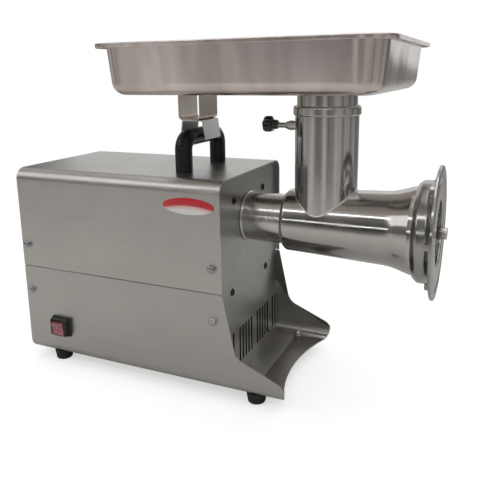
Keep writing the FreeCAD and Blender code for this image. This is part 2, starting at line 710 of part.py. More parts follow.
def gland_locknut():
    inner_face = REAR_PANEL_X + SHEET
    nut = hexagon_x(inner_face, inner_face + LOCKNUT_THICKNESS, GLAND_Y, GLAND_Z, LOCKNUT_FLATS)
    return nut.cut(rod_x(inner_face - 1, inner_face + LOCKNUT_THICKNESS + 1, GLAND_Y, GLAND_Z,
                         GLAND_THREAD_RADIUS))


# ---------------------------------------------------------------- gearbox

def case_outline(inset):
    return rectangle(-CASE_HALF_WIDTH + inset, CASE_HALF_WIDTH - inset, CASE_BOTTOM + inset,
                     CASE_TOP - inset, CASE_CORNER - inset)


def gearbox_case():
    shell = prism_x(case_outline(0), CASE_REAR_X, CASE_FRONT_X)
    shell = shell.cut(prism_x(case_outline(CASE_WALL), CASE_REAR_X - 1, FRONT_WALL_X))
    bosses = [rod_x(FRONT_BEARING_X[0], FRONT_WALL_X, 0, AUGER_Z, OUTPUT_FRONT_BEARING_RADIUS + 6),
              rod_x(IDLER_FRONT_BEARING_X[0], FRONT_WALL_X, 0, IDLER_Z, IDLER_BEARING_RADIUS + 4.5)]
    for y, z in FRONT_BOLTS:
        bosses.append(rod_x(FRONT_WALL_X - 12, FRONT_WALL_X, y, z, FRONT_BOLT_BOSS_RADIUS))
    for y, z in CASE_SCREWS:
        for side in SIDES:
            bosses.append(rod_x(CASE_REAR_X, CASE_REAR_X + 20, side * y, z, CASE_BOSS_RADIUS))
    inside = prism_x(case_outline(1), CASE_REAR_X, CASE_FRONT_X)
    shell = fused([shell] + [boss.common(inside) for boss in bosses])
    cuts = [rod_x(FRONT_BEARING_X[0] - 1, FRONT_BEARING_X[1], 0, AUGER_Z, OUTPUT_FRONT_BEARING_RADIUS),
            rod_x(FRONT_WALL_X - 1, CASE_FRONT_X + 1, 0, AUGER_Z, SEAL_RADIUS + 0.5),
            rod_x(CASE_FRONT_X - 4, CASE_FRONT_X + 1, 0, AUGER_Z, NECK_FLANGE_RADIUS),
            rod_x(IDLER_FRONT_BEARING_X[0] - 1, IDLER_FRONT_BEARING_X[1], 0, IDLER_Z, IDLER_BEARING_RADIUS)]
    for y, z in FRONT_BOLTS:
        cuts.append(rod_x(FRONT_PLATE_X - FRONT_BOLT_REACH, CASE_FRONT_X + 1, y, z, FRONT_BOLT_RADIUS))
    for y, z in CASE_SCREWS:
        for side in SIDES:
            cuts.append(rod_x(CASE_REAR_X - 1, CASE_REAR_X + 16, side * y, z, CASE_SCREW_RADIUS))
    for cut in cuts:
        shell = shell.cut(cut)
    return shell


def gearbox_cover():
    plate = prism_x(case_outline(0), COVER_REAR_X, CASE_REAR_X)
    cuts = [rod_x(REAR_BEARING_X[0], REAR_BEARING_X[1] + 1, 0, AUGER_Z, OUTPUT_REAR_BEARING_RADIUS),
            rod_x(IDLER_REAR_BEARING_X[0], IDLER_REAR_BEARING_X[1] + 1, 0, IDLER_Z, IDLER_BEARING_RADIUS),
            rod_x(COVER_REAR_X - 1, CASE_REAR_X + 1, 0, MOTOR_Z, ROTOR_SEAT_RADIUS + 2)]
    for y, z in CASE_SCREWS:
        for side in SIDES:
            cuts.append(rod_x(COVER_REAR_X - 1, CASE_REAR_X + 1, side * y, z, CASE_SCREW_RADIUS))
    for cut in cuts:
        plate = plate.cut(cut)
    return plate


def gearbox_screws():
    screws = []
    for y, z in CASE_SCREWS:
        for side in SIDES:
            head_x = COVER_REAR_X - CASE_SCREW_HEAD_HEIGHT
            head = rod_x(head_x, COVER_REAR_X, side * y, z, CASE_SCREW_HEAD_RADIUS)
            shank = rod_x(COVER_REAR_X, CASE_REAR_X + 14, side * y, z, CASE_SCREW_RADIUS)
            socket = hexagon_x(head_x - 0.5, head_x + 2.5, side * y, z, 4)
            screws.append(fused([head, shank]).cut(socket))
    return Part.makeCompound(screws)


def ball_bearing(span, z, outer, shaft_radius):
    """A sealed bearing: one ring with a shield groove on each side, running on its shaft."""
    inner = shaft_radius + RUNNING_CLEARANCE
    ring = ring_x(span[0], span[1], z, outer, inner)
    groove_outer = inner + (outer - inner) * 0.72
    groove_inner = inner + (outer - inner) * 0.3
    for x0, x1 in ((span[0] - 1, span[0] + 0.8), (span[1] - 0.8, span[1] + 1)):
        ring = ring.cut(ring_x(x0, x1, z, groove_outer, groove_inner))
    return ring


def output_bearings():
    front = ball_bearing(FRONT_BEARING_X, AUGER_Z, OUTPUT_FRONT_BEARING_RADIUS, OUTPUT_FRONT_RADIUS)
    rear = ball_bearing(REAR_BEARING_X, AUGER_Z, OUTPUT_REAR_BEARING_RADIUS, OUTPUT_REAR_RADIUS)
    return Part.makeCompound([front, rear])


def idler_bearings():
    spans = (IDLER_FRONT_BEARING_X, IDLER_REAR_BEARING_X)
    return Part.makeCompound([ball_bearing(span, IDLER_Z, IDLER_BEARING_RADIUS, IDLER_JOURNAL_RADIUS)
                              for span in spans])


def oil_seal():
    bore = OUTPUT_FRONT_RADIUS + RUNNING_CLEARANCE
    return ring_x(OIL_SEAL_X[0], OIL_SEAL_X[1], AUGER_Z, SEAL_RADIUS, bore)


def output_gear():
    x0, x1 = OUTPUT_GEAR_X
    wheel = gear_x(x0, x1, AUGER_Z, OUTPUT_TEETH, OUTPUT_MODULE, -90)
    wheel = wheel.cut(rod_x(x0 - 1, x1 + 1, 0, AUGER_Z, OUTPUT_GEAR_SEAT_RADIUS))
    for span in ((x0 - 1, x0 + 5), (x1 - 5, x1 + 1)):
        wheel = wheel.cut(ring_x(span[0], span[1], AUGER_Z, 34, 23))
    return wheel


def output_shaft():
    rear = OUTPUT_REAR_RADIUS
    collar = rear + 5.5
    seat = OUTPUT_GEAR_SEAT_RADIUS
    front = OUTPUT_FRONT_RADIUS
    rear_step = CASE_REAR_X + 0.5
    corners = ((-89.5, 0, 0), (-89.5, rear, 0), (rear_step, rear, 0), (rear_step, collar, 0),
               (OUTPUT_GEAR_X[0], collar, 0), (OUTPUT_GEAR_X[0], seat, 0), (OUTPUT_GEAR_X[1], seat, 0),
               (OUTPUT_GEAR_X[1], front, 0), (OIL_SEAL_X[1], front, 0), (OIL_SEAL_X[1], 12, 0), (11, 12, 0),
               (11, 0, 0))
    tang = box(10, 31, -TANG_HALF, TANG_HALF, AUGER_Z - TANG_HALF, AUGER_Z + TANG_HALF)
    return fused([turned_x(corners), tang])


def idler_shaft():
    journal = IDLER_JOURNAL_RADIUS
    seat = IDLER_SEAT_RADIUS
    rear_step = IDLER_REAR_BEARING_X[1] + 1
    front_step = IDLER_FRONT_BEARING_X[0] - 1
    corners = ((-88.5, 0, 0), (-88.5, journal, 0), (rear_step, journal, 0), (rear_step, seat, 0),
               (front_step, seat, 0), (front_step, journal, 0), (-14.5, journal, 0), (-14.5, 0, 0))
    half_pitch = 180 / IDLER_PINION_TEETH
    pinion = gear_x(IDLER_PINION_X[0], IDLER_PINION_X[1], IDLER_Z, IDLER_PINION_TEETH, OUTPUT_MODULE,
                    90 + half_pitch)
    return fused([turned_x(corners, IDLER_Z), pinion])


def idler_gear():
    x0, x1 = IDLER_GEAR_X
    wheel = gear_x(x0, x1, IDLER_Z, IDLER_TEETH, MOTOR_MODULE, -90)
    wheel = wheel.cut(rod_x(x0 - 1, x1 + 1, 0, IDLER_Z, IDLER_SEAT_RADIUS))
    return wheel.cut(ring_x(x0 - 1, x0 + 3, IDLER_Z, 25, 15))


# ---------------------------------------------------------------- motor

def motor_shaft():
    tail = MOTOR_TAIL_RADIUS
    rear = MOTOR_REAR_JOURNAL_RADIUS
    seat = ROTOR_SEAT_RADIUS
    front = MOTOR_FRONT_JOURNAL_RADIUS
    rear_step = MOTOR_REAR_BEARING_X[1] + 1
    front_step = MOTOR_FRONT_BEARING_X[0] - 1
    pinion_x = MOTOR_PINION_X[0]
    corners = ((-262, 0, 0), (-262, tail, 0), (-236, tail, 0), (-236, rear, 0), (rear_step, rear, 0),
               (rear_step, seat, 0), (front_step, seat, 0), (front_step, front, 0), (pinion_x, front, 0),
               (pinion_x, 0, 0))
    half_pitch = 180 / MOTOR_PINION_TEETH
    pinion = gear_x(MOTOR_PINION_X[0], MOTOR_PINION_X[1], MOTOR_Z, MOTOR_PINION_TEETH, MOTOR_MODULE,
                    90 + half_pitch)
    return fused([turned_x(corners, MOTOR_Z), pinion])


def motor_case():
    return ring_x(MOTOR_REAR_X, MOTOR_FRONT_X, MOTOR_Z, MOTOR_RADIUS, MOTOR_RADIUS - MOTOR_WALL)


def motor_front_bell():
    disc = rod_x(MOTOR_FRONT_X, COVER_REAR_X, 0, MOTOR_Z, MOTOR_RADIUS)
    for y, z in CASE_SCREWS:
        for side in SIDES:
            disc = disc.cut(rod_x(COVER_REAR_X - 6, COVER_REAR_X + 1, side * y, z, CASE_BOSS_RADIUS))
    bearing_x0, bearing_x1 = MOTOR_FRONT_BEARING_X
    hub = rod_x(bearing_x0, MOTOR_FRONT_X, 0, MOTOR_Z, MOTOR_FRONT_BEARING_RADIUS + 6)
    bell = fused([disc, hub])
    bell = bell.cut(rod_x(bearing_x0 - 1, bearing_x1, 0, MOTOR_Z, MOTOR_FRONT_BEARING_RADIUS))
    return bell.cut(rod_x(MOTOR_FRONT_X - 1, COVER_REAR_X + 1, 0, MOTOR_Z, ROTOR_SEAT_RADIUS))


def motor_rear_bell():
    x0 = MOTOR_REAR_X - REAR_BELL_THICKNESS
    bell = rod_x(x0, MOTOR_REAR_X, 0, MOTOR_Z, MOTOR_RADIUS)
    bell = bell.cut(rod_x(MOTOR_REAR_BEARING_X[0], MOTOR_REAR_X + 1, 0, MOTOR_Z, MOTOR_REAR_BEARING_RADIUS))
    hole_radius = 9
    bell = bell.cut(rod_x(x0 - 1, MOTOR_REAR_X + 1, 0, MOTOR_Z, hole_radius))
    air_holes = 8
    air_circle = 42
    for i in range(air_holes):
        angle = 2 * math.pi * (i + 0.5) / air_holes
        y = air_circle * math.cos(angle)
        z = MOTOR_Z + air_circle * math.sin(angle)
        bell = bell.cut(rod_x(x0 - 1, MOTOR_REAR_X + 1, y, z, hole_radius))
    return bell


def motor_bearings():
    front = ball_bearing(MOTOR_FRONT_BEARING_X, MOTOR_Z, MOTOR_FRONT_BEARING_RADIUS,
                         MOTOR_FRONT_JOURNAL_RADIUS)
    rear = ball_bearing(MOTOR_REAR_BEARING_X, MOTOR_Z, MOTOR_REAR_BEARING_RADIUS, MOTOR_REAR_JOURNAL_RADIUS)
    return Part.makeCompound([front, rear])


def stator_core():
    bore = ROTOR_RADIUS + AIR_GAP
    core = ring_x(CORE_REAR_X, CORE_FRONT_X, MOTOR_Z, MOTOR_RADIUS - MOTOR_WALL, bore)
    for i in range(STATOR_SLOTS):
        slot = box(CORE_REAR_X - 1, CORE_FRONT_X + 1, bore - 1, bore + 12, -3.5, 3.5)
        slot.rotate(V(0, 0, 0), X_AXIS, 360 / STATOR_SLOTS * i)
        slot.translate(V(0, 0, MOTOR_Z))
        core = core.cut(slot)
    return core


def stator_windings():
    rings = []
    for x0, x1 in ((CORE_REAR_X - 12, CORE_REAR_X), (CORE_FRONT_X, CORE_FRONT_X + 8)):
        low, high = WINDING_RADII
        corners = ((x0, low, 3), (x1, low, 0), (x1, high, 0), (x0, high, 3))
        rings.append(turned_x(corners, MOTOR_Z))
    return Part.makeCompound(rings)


def rotor_core():
    return ring_x(CORE_REAR_X, CORE_FRONT_X, MOTOR_Z, ROTOR_RADIUS, ROTOR_SEAT_RADIUS)


def cooling_fan():
    x0, x1 = FAN_X
    hub_radius = 13
    hub = ring_x(x0, x1, MOTOR_Z, hub_radius, MOTOR_TAIL_RADIUS)
    disc = ring_x(x1 - 2, x1, MOTOR_Z, FAN_RADIUS, hub_radius - 1)
    pieces = [hub, disc]
    for i in range(FAN_BLADES):
        blade = box(x0 + 2, x1 - 1, hub_radius - 1, FAN_RADIUS, -1, 1)
        blade.rotate(V(0, 0, 0), X_AXIS, 360 / FAN_BLADES * i)
        blade.translate(V(0, 0, MOTOR_Z))
        pieces.append(blade)
    return fused(pieces)


def motor_mount():
    floor = FOOT_HEIGHT + SHEET
    x0, x1 = MOUNT_X
    plate_half = 58
    plate_top = floor + 3
    cradle_half = 44
    cradle_length = 8
    pieces = [box(x0, x1, -plate_half, plate_half, floor, plate_top)]
    for x in (x0, x1 - cradle_length):
        pieces.append(box(x, x + cradle_length, -cradle_half, cradle_half, plate_top, MOTOR_Z - 35))
    return fused(pieces).cut(rod_x(x0 - 1, x1 + 1, 0, MOTOR_Z, MOTOR_RADIUS))


def capacitor():
    can = rod_x(CAPACITOR_X[0], CAPACITOR_X[1], 0, CAPACITOR_Z, CAPACITOR_RADIUS)
    lid = rod_x(CAPACITOR_X[1], CAPACITOR_X[1] + 3, 0, CAPACITOR_Z, CAPACITOR_RADIUS - 2)
    pieces = [can, lid]
    tab_x = CAPACITOR_X[1] + 3
    for side in SIDES:
        pieces.append(box(tab_x, tab_x + 8, side * 7 - 3, side * 7 + 3, CAPACITOR_Z - 0.4, CAPACITOR_Z + 0.4))
    return fused(pieces)


def capacitor_clip():
    x0, x1 = CLIP_X
    band = rod_x(x0, x1, 0, CAPACITOR_Z, CAPACITOR_RADIUS + 1.5)
    foot = box(x0, x1, -16, 16, MOTOR_Z + MOTOR_RADIUS - 3, CAPACITOR_Z - CAPACITOR_RADIUS + 2)
    clip = fused([band, foot])
    clip = clip.cut(rod_x(x0 - 1, x1 + 1, 0, CAPACITOR_Z, CAPACITOR_RADIUS))
    return clip.cut(rod_x(x0 - 1, x1 + 1, 0, MOTOR_Z, MOTOR_RADIUS))


# ---------------------------------------------------------------- neck and head

def neck_tube():
    seat = CASE_FRONT_X - 4
    face = FRONT_PLATE_X
    weld = NECK_RADIUS + 1.2
    corners = ((seat, SEAL_RADIUS, 0), (seat, NECK_FLANGE_RADIUS, 0), (CASE_FRONT_X, NECK_FLANGE_RADIUS, 0),
               (CASE_FRONT_X, NECK_RADIUS, 0), (face, NECK_RADIUS, 0), (face, weld, 0), (face + 2, weld, 0.6),
               (face + 2, NECK_RADIUS, 0), (NECK_END_X, NECK_RADIUS, 1), (NECK_END_X, NECK_BORE, 0),
               (6, NECK_BORE, 0), (6, SEAL_RADIUS, 0))
    tube = turned_x(corners)
    screw_bore = HEAD_LOCK_SCREW_RADIUS + RUNNING_CLEARANCE
    return tube.cut(rod_y(HEAD_LOCK_X, 20, 45, AUGER_Z, screw_bore))


def barrel_solid():
    """The outside of the barrel and of the plug behind it, filled."""
    plug = NECK_BORE - RUNNING_CLEARANCE
    flare_x = THREAD_REAR_X - 3
    return turned_x(((PLUG_REAR_X, 0, 0), (PLUG_REAR_X, plug, 1), (NECK_END_X, plug, 0),
                     (NECK_END_X, BARREL_REAR_RADIUS, 6), (BARREL_WAIST_X, BARREL_WAIST_RADIUS, 60),
                     (flare_x, BARREL_FLARE_RADIUS, 3), (THREAD_REAR_X, BARREL_FLARE_RADIUS, 0),
                     (THREAD_REAR_X, THREAD_RADIUS, 0), (BARREL_FRONT_X, THREAD_RADIUS, 0.8),
                     (BARREL_FRONT_X, 0, 0)))


def head_barrel():
    bore = turned_x(((PLUG_REAR_X - 1, 0, 0), (PLUG_REAR_X - 1, BUSH_RADIUS, 0),
                     (BORE_REAR_X, BUSH_RADIUS, 0),
                     (BORE_REAR_X, BORE_REAR_RADIUS, 3), (BARREL_WAIST_X, BORE_WAIST_RADIUS, 40),
                     (PLATE_SEAT_X, PLATE_SEAT_RADIUS, 0), (BARREL_FRONT_X + 1, PLATE_SEAT_RADIUS, 0),
                     (BARREL_FRONT_X + 1, 0, 0)))
    feed_hole = rod_z(TUBE_X, 0, AUGER_Z, AUGER_Z + 60, FEED_BORE_RADIUS)
    key_hole = rod_z(KEY_X, 0, AUGER_Z + 30, AUGER_Z + THREAD_RADIUS + 2, KEY_RADIUS)
    return barrel_solid().cut(bore).cut(feed_hole).cut(key_hole)


def feed_tube():
    """The upright tube welded onto the barrel, with the collar that stiffens its mouth."""
    tube = rod_z(TUBE_X, 0, AUGER_Z, TUBE_TOP, TUBE_RADIUS)
    collar = turned_z(((TUBE_RADIUS - 2, COLLAR_BOTTOM, 0), (COLLAR_RADIUS, COLLAR_BOTTOM, 1.9),
                       (COLLAR_RADIUS, TUBE_TOP, 2.6), (TUBE_RADIUS - 2, TUBE_TOP, 0)), TUBE_X, 0)
    ledge = THROAT_BOTTOM - THROAT_CLEARANCE
    tube = fused([tube, collar])
    tube = tube.cut(rod_z(TUBE_X, 0, AUGER_Z - 1, ledge + 1, FEED_BORE_RADIUS))
    tube = tube.cut(rod_z(TUBE_X, 0, ledge, TUBE_TOP + 1, THROAT_RADIUS + THROAT_CLEARANCE))
    lock_bore = TRAY_LOCK_SCREW_RADIUS + RUNNING_CLEARANCE
    tube = tube.cut(rod_x(TRAY_LOCK_BOSS_X, TUBE_X, 0, TRAY_LOCK_Z, lock_bore))
    return tube.cut(barrel_solid())


def auger_bush():
    return ring_x(PLUG_REAR_X + 1, BORE_REAR_X - 2, AUGER_Z, BUSH_RADIUS, SHANK_RADIUS + RUNNING_CLEARANCE)


def plate_key():
    return rod_z(KEY_X, 0, AUGER_Z + 38.4, AUGER_Z + THREAD_RADIUS - 0.4, KEY_RADIUS)


def auger():
    core = turned_x(((12, 0, 0), (12, SHANK_RADIUS, 1), (50.5, SHANK_RADIUS, 0), (50.5, 17, 0),
                     (52.5, 17, 0),
                     (52.5, 22, 0), (FLIGHT_REAR_X, 22, 2), (FLIGHT_REAR_X + 3, 15, 3),
                     (FLIGHT_FRONT_X, 20, 0),
                     (FLIGHT_FRONT_X + 2.5, 16, 0), (FLIGHT_FRONT_X + 2.5, 0, 0)))
    reach = BORE_REAR_RADIUS - FLIGHT_CLEARANCE
    taper = math.degrees(math.atan((BORE_WAIST_RADIUS - BORE_REAR_RADIUS) / (BARREL_WAIST_X - BORE_REAR_X)))
    helix = Part.Wire(Part.makeHelix(AUGER_PITCH, FLIGHT_FRONT_X - FLIGHT_REAR_X - 7, reach, taper))
    root = 12
    half = FLIGHT_THICKNESS / 2
    profile = Part.makePolygon([V(root, 0, -half - 1), V(reach, 0, -half + 0.6), V(reach, 0, half - 0.6),
                                V(root, 0, half + 1), V(root, 0, -half - 1)])
    flight = helix.makePipeShell([profile], True, True)
    flight.rotate(V(0, 0, 0), Y_AXIS, 90)
    flight.translate(V(FLIGHT_REAR_X + 4, 0, AUGER_Z))
    square = box(FLIGHT_FRONT_X, KNIFE_X[1], -SQUARE_HALF, SQUARE_HALF, AUGER_Z - SQUARE_HALF,
                 AUGER_Z + SQUARE_HALF)
    pin = turned_x(((KNIFE_X[1] - 1, 0, 0), (KNIFE_X[1] - 1, PIN_RADIUS, 0), (PIN_TIP_X, PIN_RADIUS, 0.8),
                    (PIN_TIP_X, 0, 0)))
    screw = fused([core, flight, square, pin])
    socket = box(11, 32, -SOCKET_HALF, SOCKET_HALF, AUGER_Z - SOCKET_HALF, AUGER_Z + SOCKET_HALF)
    return screw.cut(socket)


def cutter_knife():
    x0, x1 = KNIFE_X
    hub = rod_x(x0, x1, 0, AUGER_Z, 14)
    pieces = [hub]
    for i in range(4):
        arm = prism_x(((8, -6, 0), (KNIFE_RADIUS, -4.5, 2), (KNIFE_RADIUS, 4.5, 2), (8, 6, 0)), x0, x1)
        back = prism_z(((x0 - 1, -7, 0), (x0 + 6, -7, 0), (x0 - 1, 2, 0)), 0, 90)
        back.rotate(V(0, 0, 0), X_AXIS, -90)
        arm = arm.cut(back)
        arm.rotate(V(0, 0, 0), X_AXIS, 90 * i + 45)
        arm.translate(V(0, 0, AUGER_Z))
        pieces.append(arm)
    bore_half = SQUARE_HALF + 0.1
    bore = box(x0 - 1, x1 + 1, -bore_half, bore_half, AUGER_Z - bore_half, AUGER_Z + bore_half)
    return fused(pieces).cut(bore)


def grinding_plate():
    x0, x1 = PLATE_X
    plate = rod_x(x0, x1, 0, AUGER_Z, PLATE_RADIUS)
    holes = [rod_x(x0 - 1, x1 + 1, 0, AUGER_Z, PIN_RADIUS + RUNNING_CLEARANCE)]
    row_pitch = PLATE_HOLE_PITCH * math.sqrt(3) / 2
    for row in range(-4, 5):
        for column in range(-4, 5):
            y = (column + 0.5 * (row % 2)) * PLATE_HOLE_PITCH
            z = row * row_pitch
            if PIN_RADIUS + 2.5 < math.hypot(y, z) - PLATE_HOLE_RADIUS < 34.5 - 2 * PLATE_HOLE_RADIUS:
                holes.append(rod_x(x0 - 1, x1 + 1, y, AUGER_Z + z, PLATE_HOLE_RADIUS))
    notch_half = KEY_RADIUS + 0.35
    notch_z = AUGER_Z + 38
    holes.append(box(x0 - 1, x1 + 1, -notch_half, notch_half, notch_z, notch_z + 6))
    return plate.cut(Part.makeCompound(holes))


def ring_nut():
    disc_rear = RING_FRONT_X - DISC_THICKNESS
    ring = turned_x(((RING_REAR_X, RING_BORE, 0), (RING_REAR_X, 50, 2), (RING_REAR_X + 8, RING_RADIUS, 5),
                     (disc_rear, RING_RADIUS, 5), (disc_rear, DISC_RADIUS, 1.4),
                     (RING_FRONT_X, DISC_RADIUS, 1.4), (RING_FRONT_X, RING_OPENING, 1.5),
                     (RING_LIP_X, RING_OPENING, 0), (RING_LIP_X, RING_BORE, 0)))
    lugs = []
    for i in range(GRIP_LUGS):
        lug = box(disc_rear - 6, disc_rear + 0.5, RING_RADIUS - 3, RING_RADIUS + 7, -3, 3)
        lug.rotate(V(0, 0, 0), X_AXIS, 360 / GRIP_LUGS * i + 30)
        lug.translate(V(0, 0, AUGER_Z))
        lugs.append(lug)
    return fused([ring] + lugs)


# ---------------------------------------------------------------- feed tray

def tray_solid(inset, bottom):
    """The pan filled up to the rim, with its walls moved in by inset."""
    rims = []
    for z, draft in ((bottom, TRAY_DRAFT), (TRAY_RIM_Z + 1, 0)):
        edge = TRAY_RIM_WIDTH + inset + draft
        corners = rectangle(TRAY_REAR_X + edge, TRAY_FRONT_X - edge, -TRAY_HALF_WIDTH + edge,
                            TRAY_HALF_WIDTH - edge, TRAY_WALL_CORNER - inset - draft)
        rims.append(outline(corners, lambda u, v, z=z: V(u, v, z)).OuterWire)
    pan = Part.makeLoft(rims, True, True)
    bottom_edges = [e for e in pan.Edges if abs(e.BoundBox.ZMax - bottom) < 0.01]
    return pan.makeFillet(TRAY_BEND - inset, bottom_edges)


def feed_tray():
    outer = tray_solid(0, TRAY_BOTTOM)
    inner = tray_solid(SHEET, TRAY_BOTTOM + SHEET)
    rim_view = rectangle(TRAY_REAR_X, TRAY_FRONT_X, -TRAY_HALF_WIDTH, TRAY_HALF_WIDTH, TRAY_CORNER)
    rim = prism_z(rim_view, TRAY_RIM_Z - SHEET, TRAY_RIM_Z)
    lip_view = rectangle(TRAY_REAR_X + SHEET, TRAY_FRONT_X - SHEET, -TRAY_HALF_WIDTH + SHEET,
                         TRAY_HALF_WIDTH - SHEET, TRAY_CORNER - SHEET)
    lip = prism_z(rim_view, TRAY_RIM_Z - 4, TRAY_RIM_Z).cut(prism_z(lip_view, TRAY_RIM_Z - 5, TRAY_RIM_Z + 1))
    below_rim = box(-200, 300, -200, 200, 0, TRAY_RIM_Z)
    tray = fused([outer.common(below_rim), rim, lip]).cut(inner)
    return tray.cut(rod_z(TUBE_X, 0, TRAY_BOTTOM - 1, TRAY_BOTTOM + 3, THROAT_RADIUS))


def tray_throat():
    return turned_z(((THROAT_RADIUS - THROAT_WALL, THROAT_BOTTOM, 0), (THROAT_RADIUS, THROAT_BOTTOM, 0.5),
                     (THROAT_RADIUS, TRAY_BOTTOM + SHEET, 0),
                     (THROAT_RADIUS - THROAT_WALL, TRAY_BOTTOM + SHEET, 0)), TUBE_X, 0)


def tray_bracket():
    x0, x1 = BRACKET_X
    bottom = BRACKET_BOTTOM
    top = TRAY_BOTTOM
    outer = ((x0, top, 0), (x0, bottom, 5), (x1, bottom, 5), (x1, top, 0))
    inner = ((x0 + SHEET, top + 1, 0), (x0 + SHEET, bottom + SHEET, 3.5), (x1 - SHEET, bottom + SHEET, 3.5),
             (x1 - SHEET, top + 1, 0))
    length = BRACKET_HALF_LENGTH
    return prism_y(outer, -length, length).cut(prism_y(inner, -length - 1, length + 1))


def tray_saddle():
    x0, x1 = SADDLE_X
    top = BRACKET_BOTTOM
    low = SADDLE_BOTTOM
    splay = SADDLE_SPLAY
    outer = ((x0 - splay, low, 0), (x0, top, 4), (x1, top, 4), (x1 + splay, low, 0))
    inner = ((x0 - splay + SHEET, low - 1, 0), (x0 + SHEET, top - SHEET, 2.5),
             (x1 - SHEET, top - SHEET, 2.5), (x1 + splay - SHEET, low - 1, 0))
    length = SADDLE_HALF_LENGTH
    return prism_y(outer, -length, length).cut(prism_y(inner, -length - 1, length + 1))


# ---------------------------------------------------------------- lock screws

def tray_lock_boss():
    tube_face = TUBE_X - TUBE_RADIUS
    boss = hexagon_x(TRAY_LOCK_BOSS_X, TRAY_LOCK_BOSS_X + 5, 0, TRAY_LOCK_Z, 9.6)
    stem = rod_x(TRAY_LOCK_BOSS_X + 5, tube_face + 3, 0, TRAY_LOCK_Z, 5.6)
    boss = fused([boss, stem])
    boss = boss.cut(rod_z(TUBE_X, 0, TRAY_LOCK_Z - 20, TRAY_LOCK_Z + 20, TUBE_RADIUS))
    bore = TRAY_LOCK_SCREW_RADIUS + RUNNING_CLEARANCE
    return boss.cut(rod_x(TRAY_LOCK_BOSS_X - 1, TUBE_X, 0, TRAY_LOCK_Z, bore))


def tray_lock_screw():
    tip = TRAY_LOCK_TIP_X - PAD_THICKNESS
    return rod_x(TRAY_KNOB_X - 8, tip, 0, TRAY_LOCK_Z, TRAY_LOCK_SCREW_RADIUS)


def tray_lock_knob():
    knob = lobed_knob(TRAY_KNOB_LENGTH)
    knob.translate(V(TRAY_KNOB_X, 0, TRAY_LOCK_Z))
    return knob.cut(rod_x(TRAY_KNOB_X - 8, TRAY_KNOB_X + 1, 0, TRAY_LOCK_Z, TRAY_LOCK_SCREW_RADIUS))


def tray_lock_pad():
    return rod_x(TRAY_LOCK_TIP_X - PAD_THICKNESS, TRAY_LOCK_TIP_X, 0, TRAY_LOCK_Z, 2.7)


def head_lock_boss():
    boss = rod_y(HEAD_LOCK_X, NECK_RADIUS - 3, HEAD_LOCK_BOSS_Y, AUGER_Z, 9)
    boss = boss.cut(rod_x(0, NECK_END_X, 0, AUGER_Z, NECK_RADIUS))
    bore = HEAD_LOCK_SCREW_RADIUS + RUNNING_CLEARANCE
    return boss.cut(rod_y(HEAD_LOCK_X, 20, HEAD_LOCK_BOSS_Y + 1, AUGER_Z, bore))


def head_lock_screw():
    return rod_y(HEAD_LOCK_X, HEAD_LOCK_TIP_Y + PAD_THICKNESS, HEAD_KNOB_Y + 9, AUGER_Z,
                 HEAD_LOCK_SCREW_RADIUS)


def head_lock_knob():
    knob = lobed_knob(HEAD_KNOB_LENGTH)
    knob.rotate(V(0, 0, 0), Z_AXIS, -90)
    knob.translate(V(HEAD_LOCK_X, HEAD_KNOB_Y, AUGER_Z))
    return knob.cut(rod_y(HEAD_LOCK_X, HEAD_KNOB_Y - 1, HEAD_KNOB_Y + 9, AUGER_Z, HEAD_LOCK_SCREW_RADIUS))


def head_lock_pad():
    return rod_y(HEAD_LOCK_X, HEAD_LOCK_TIP_Y, HEAD_LOCK_TIP_Y + PAD_THICKNESS, AUGER_Z, 3.6)


# ---------------------------------------------------------------- all pieces

PIECES = (
    base_tray, top_cover, front_plate, rear_panel, rubber_feet, foot_screws, foot_nuts, front_bolts,
    carry_handle, handle_screws, switch_frame, switch_rocker, name_badge, cable_gland, gland_locknut,
    gearbox_case, gearbox_cover, gearbox_screws, output_bearings, idler_bearings, oil_seal, output_gear,
    output_shaft, idler_shaft, idler_gear, motor_shaft, motor_case, motor_front_bell, motor_rear_bell,
    motor_bearings, stator_core, stator_windings, rotor_core, cooling_fan, motor_mount, capacitor,
    capacitor_clip, neck_tube, head_barrel, feed_tube, auger_bush, plate_key, auger, cutter_knife,
    grinding_plate, ring_nut, feed_tray, tray_throat, tray_bracket, tray_saddle, tray_lock_boss,
    tray_lock_screw, tray_lock_knob, tray_lock_pad, head_lock_boss, head_lock_screw, head_lock_knob,
    head_lock_pad,
)


def save(name, shape):
    placed = shape.copy()
    placed.translate(ORIGIN_SHIFT)
    placed.exportStep("parts/" + name + ".step")


os.makedirs("parts", exist_ok=True)
for piece in PIECES:
    save(piece.__name__, piece())
save("side_screws", side_fastening(side_screw))
save("side_washers", side_fastening(side_washer))
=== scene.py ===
import bmesh
import bpy
import json
import math
from mathutils import Matrix, Vector


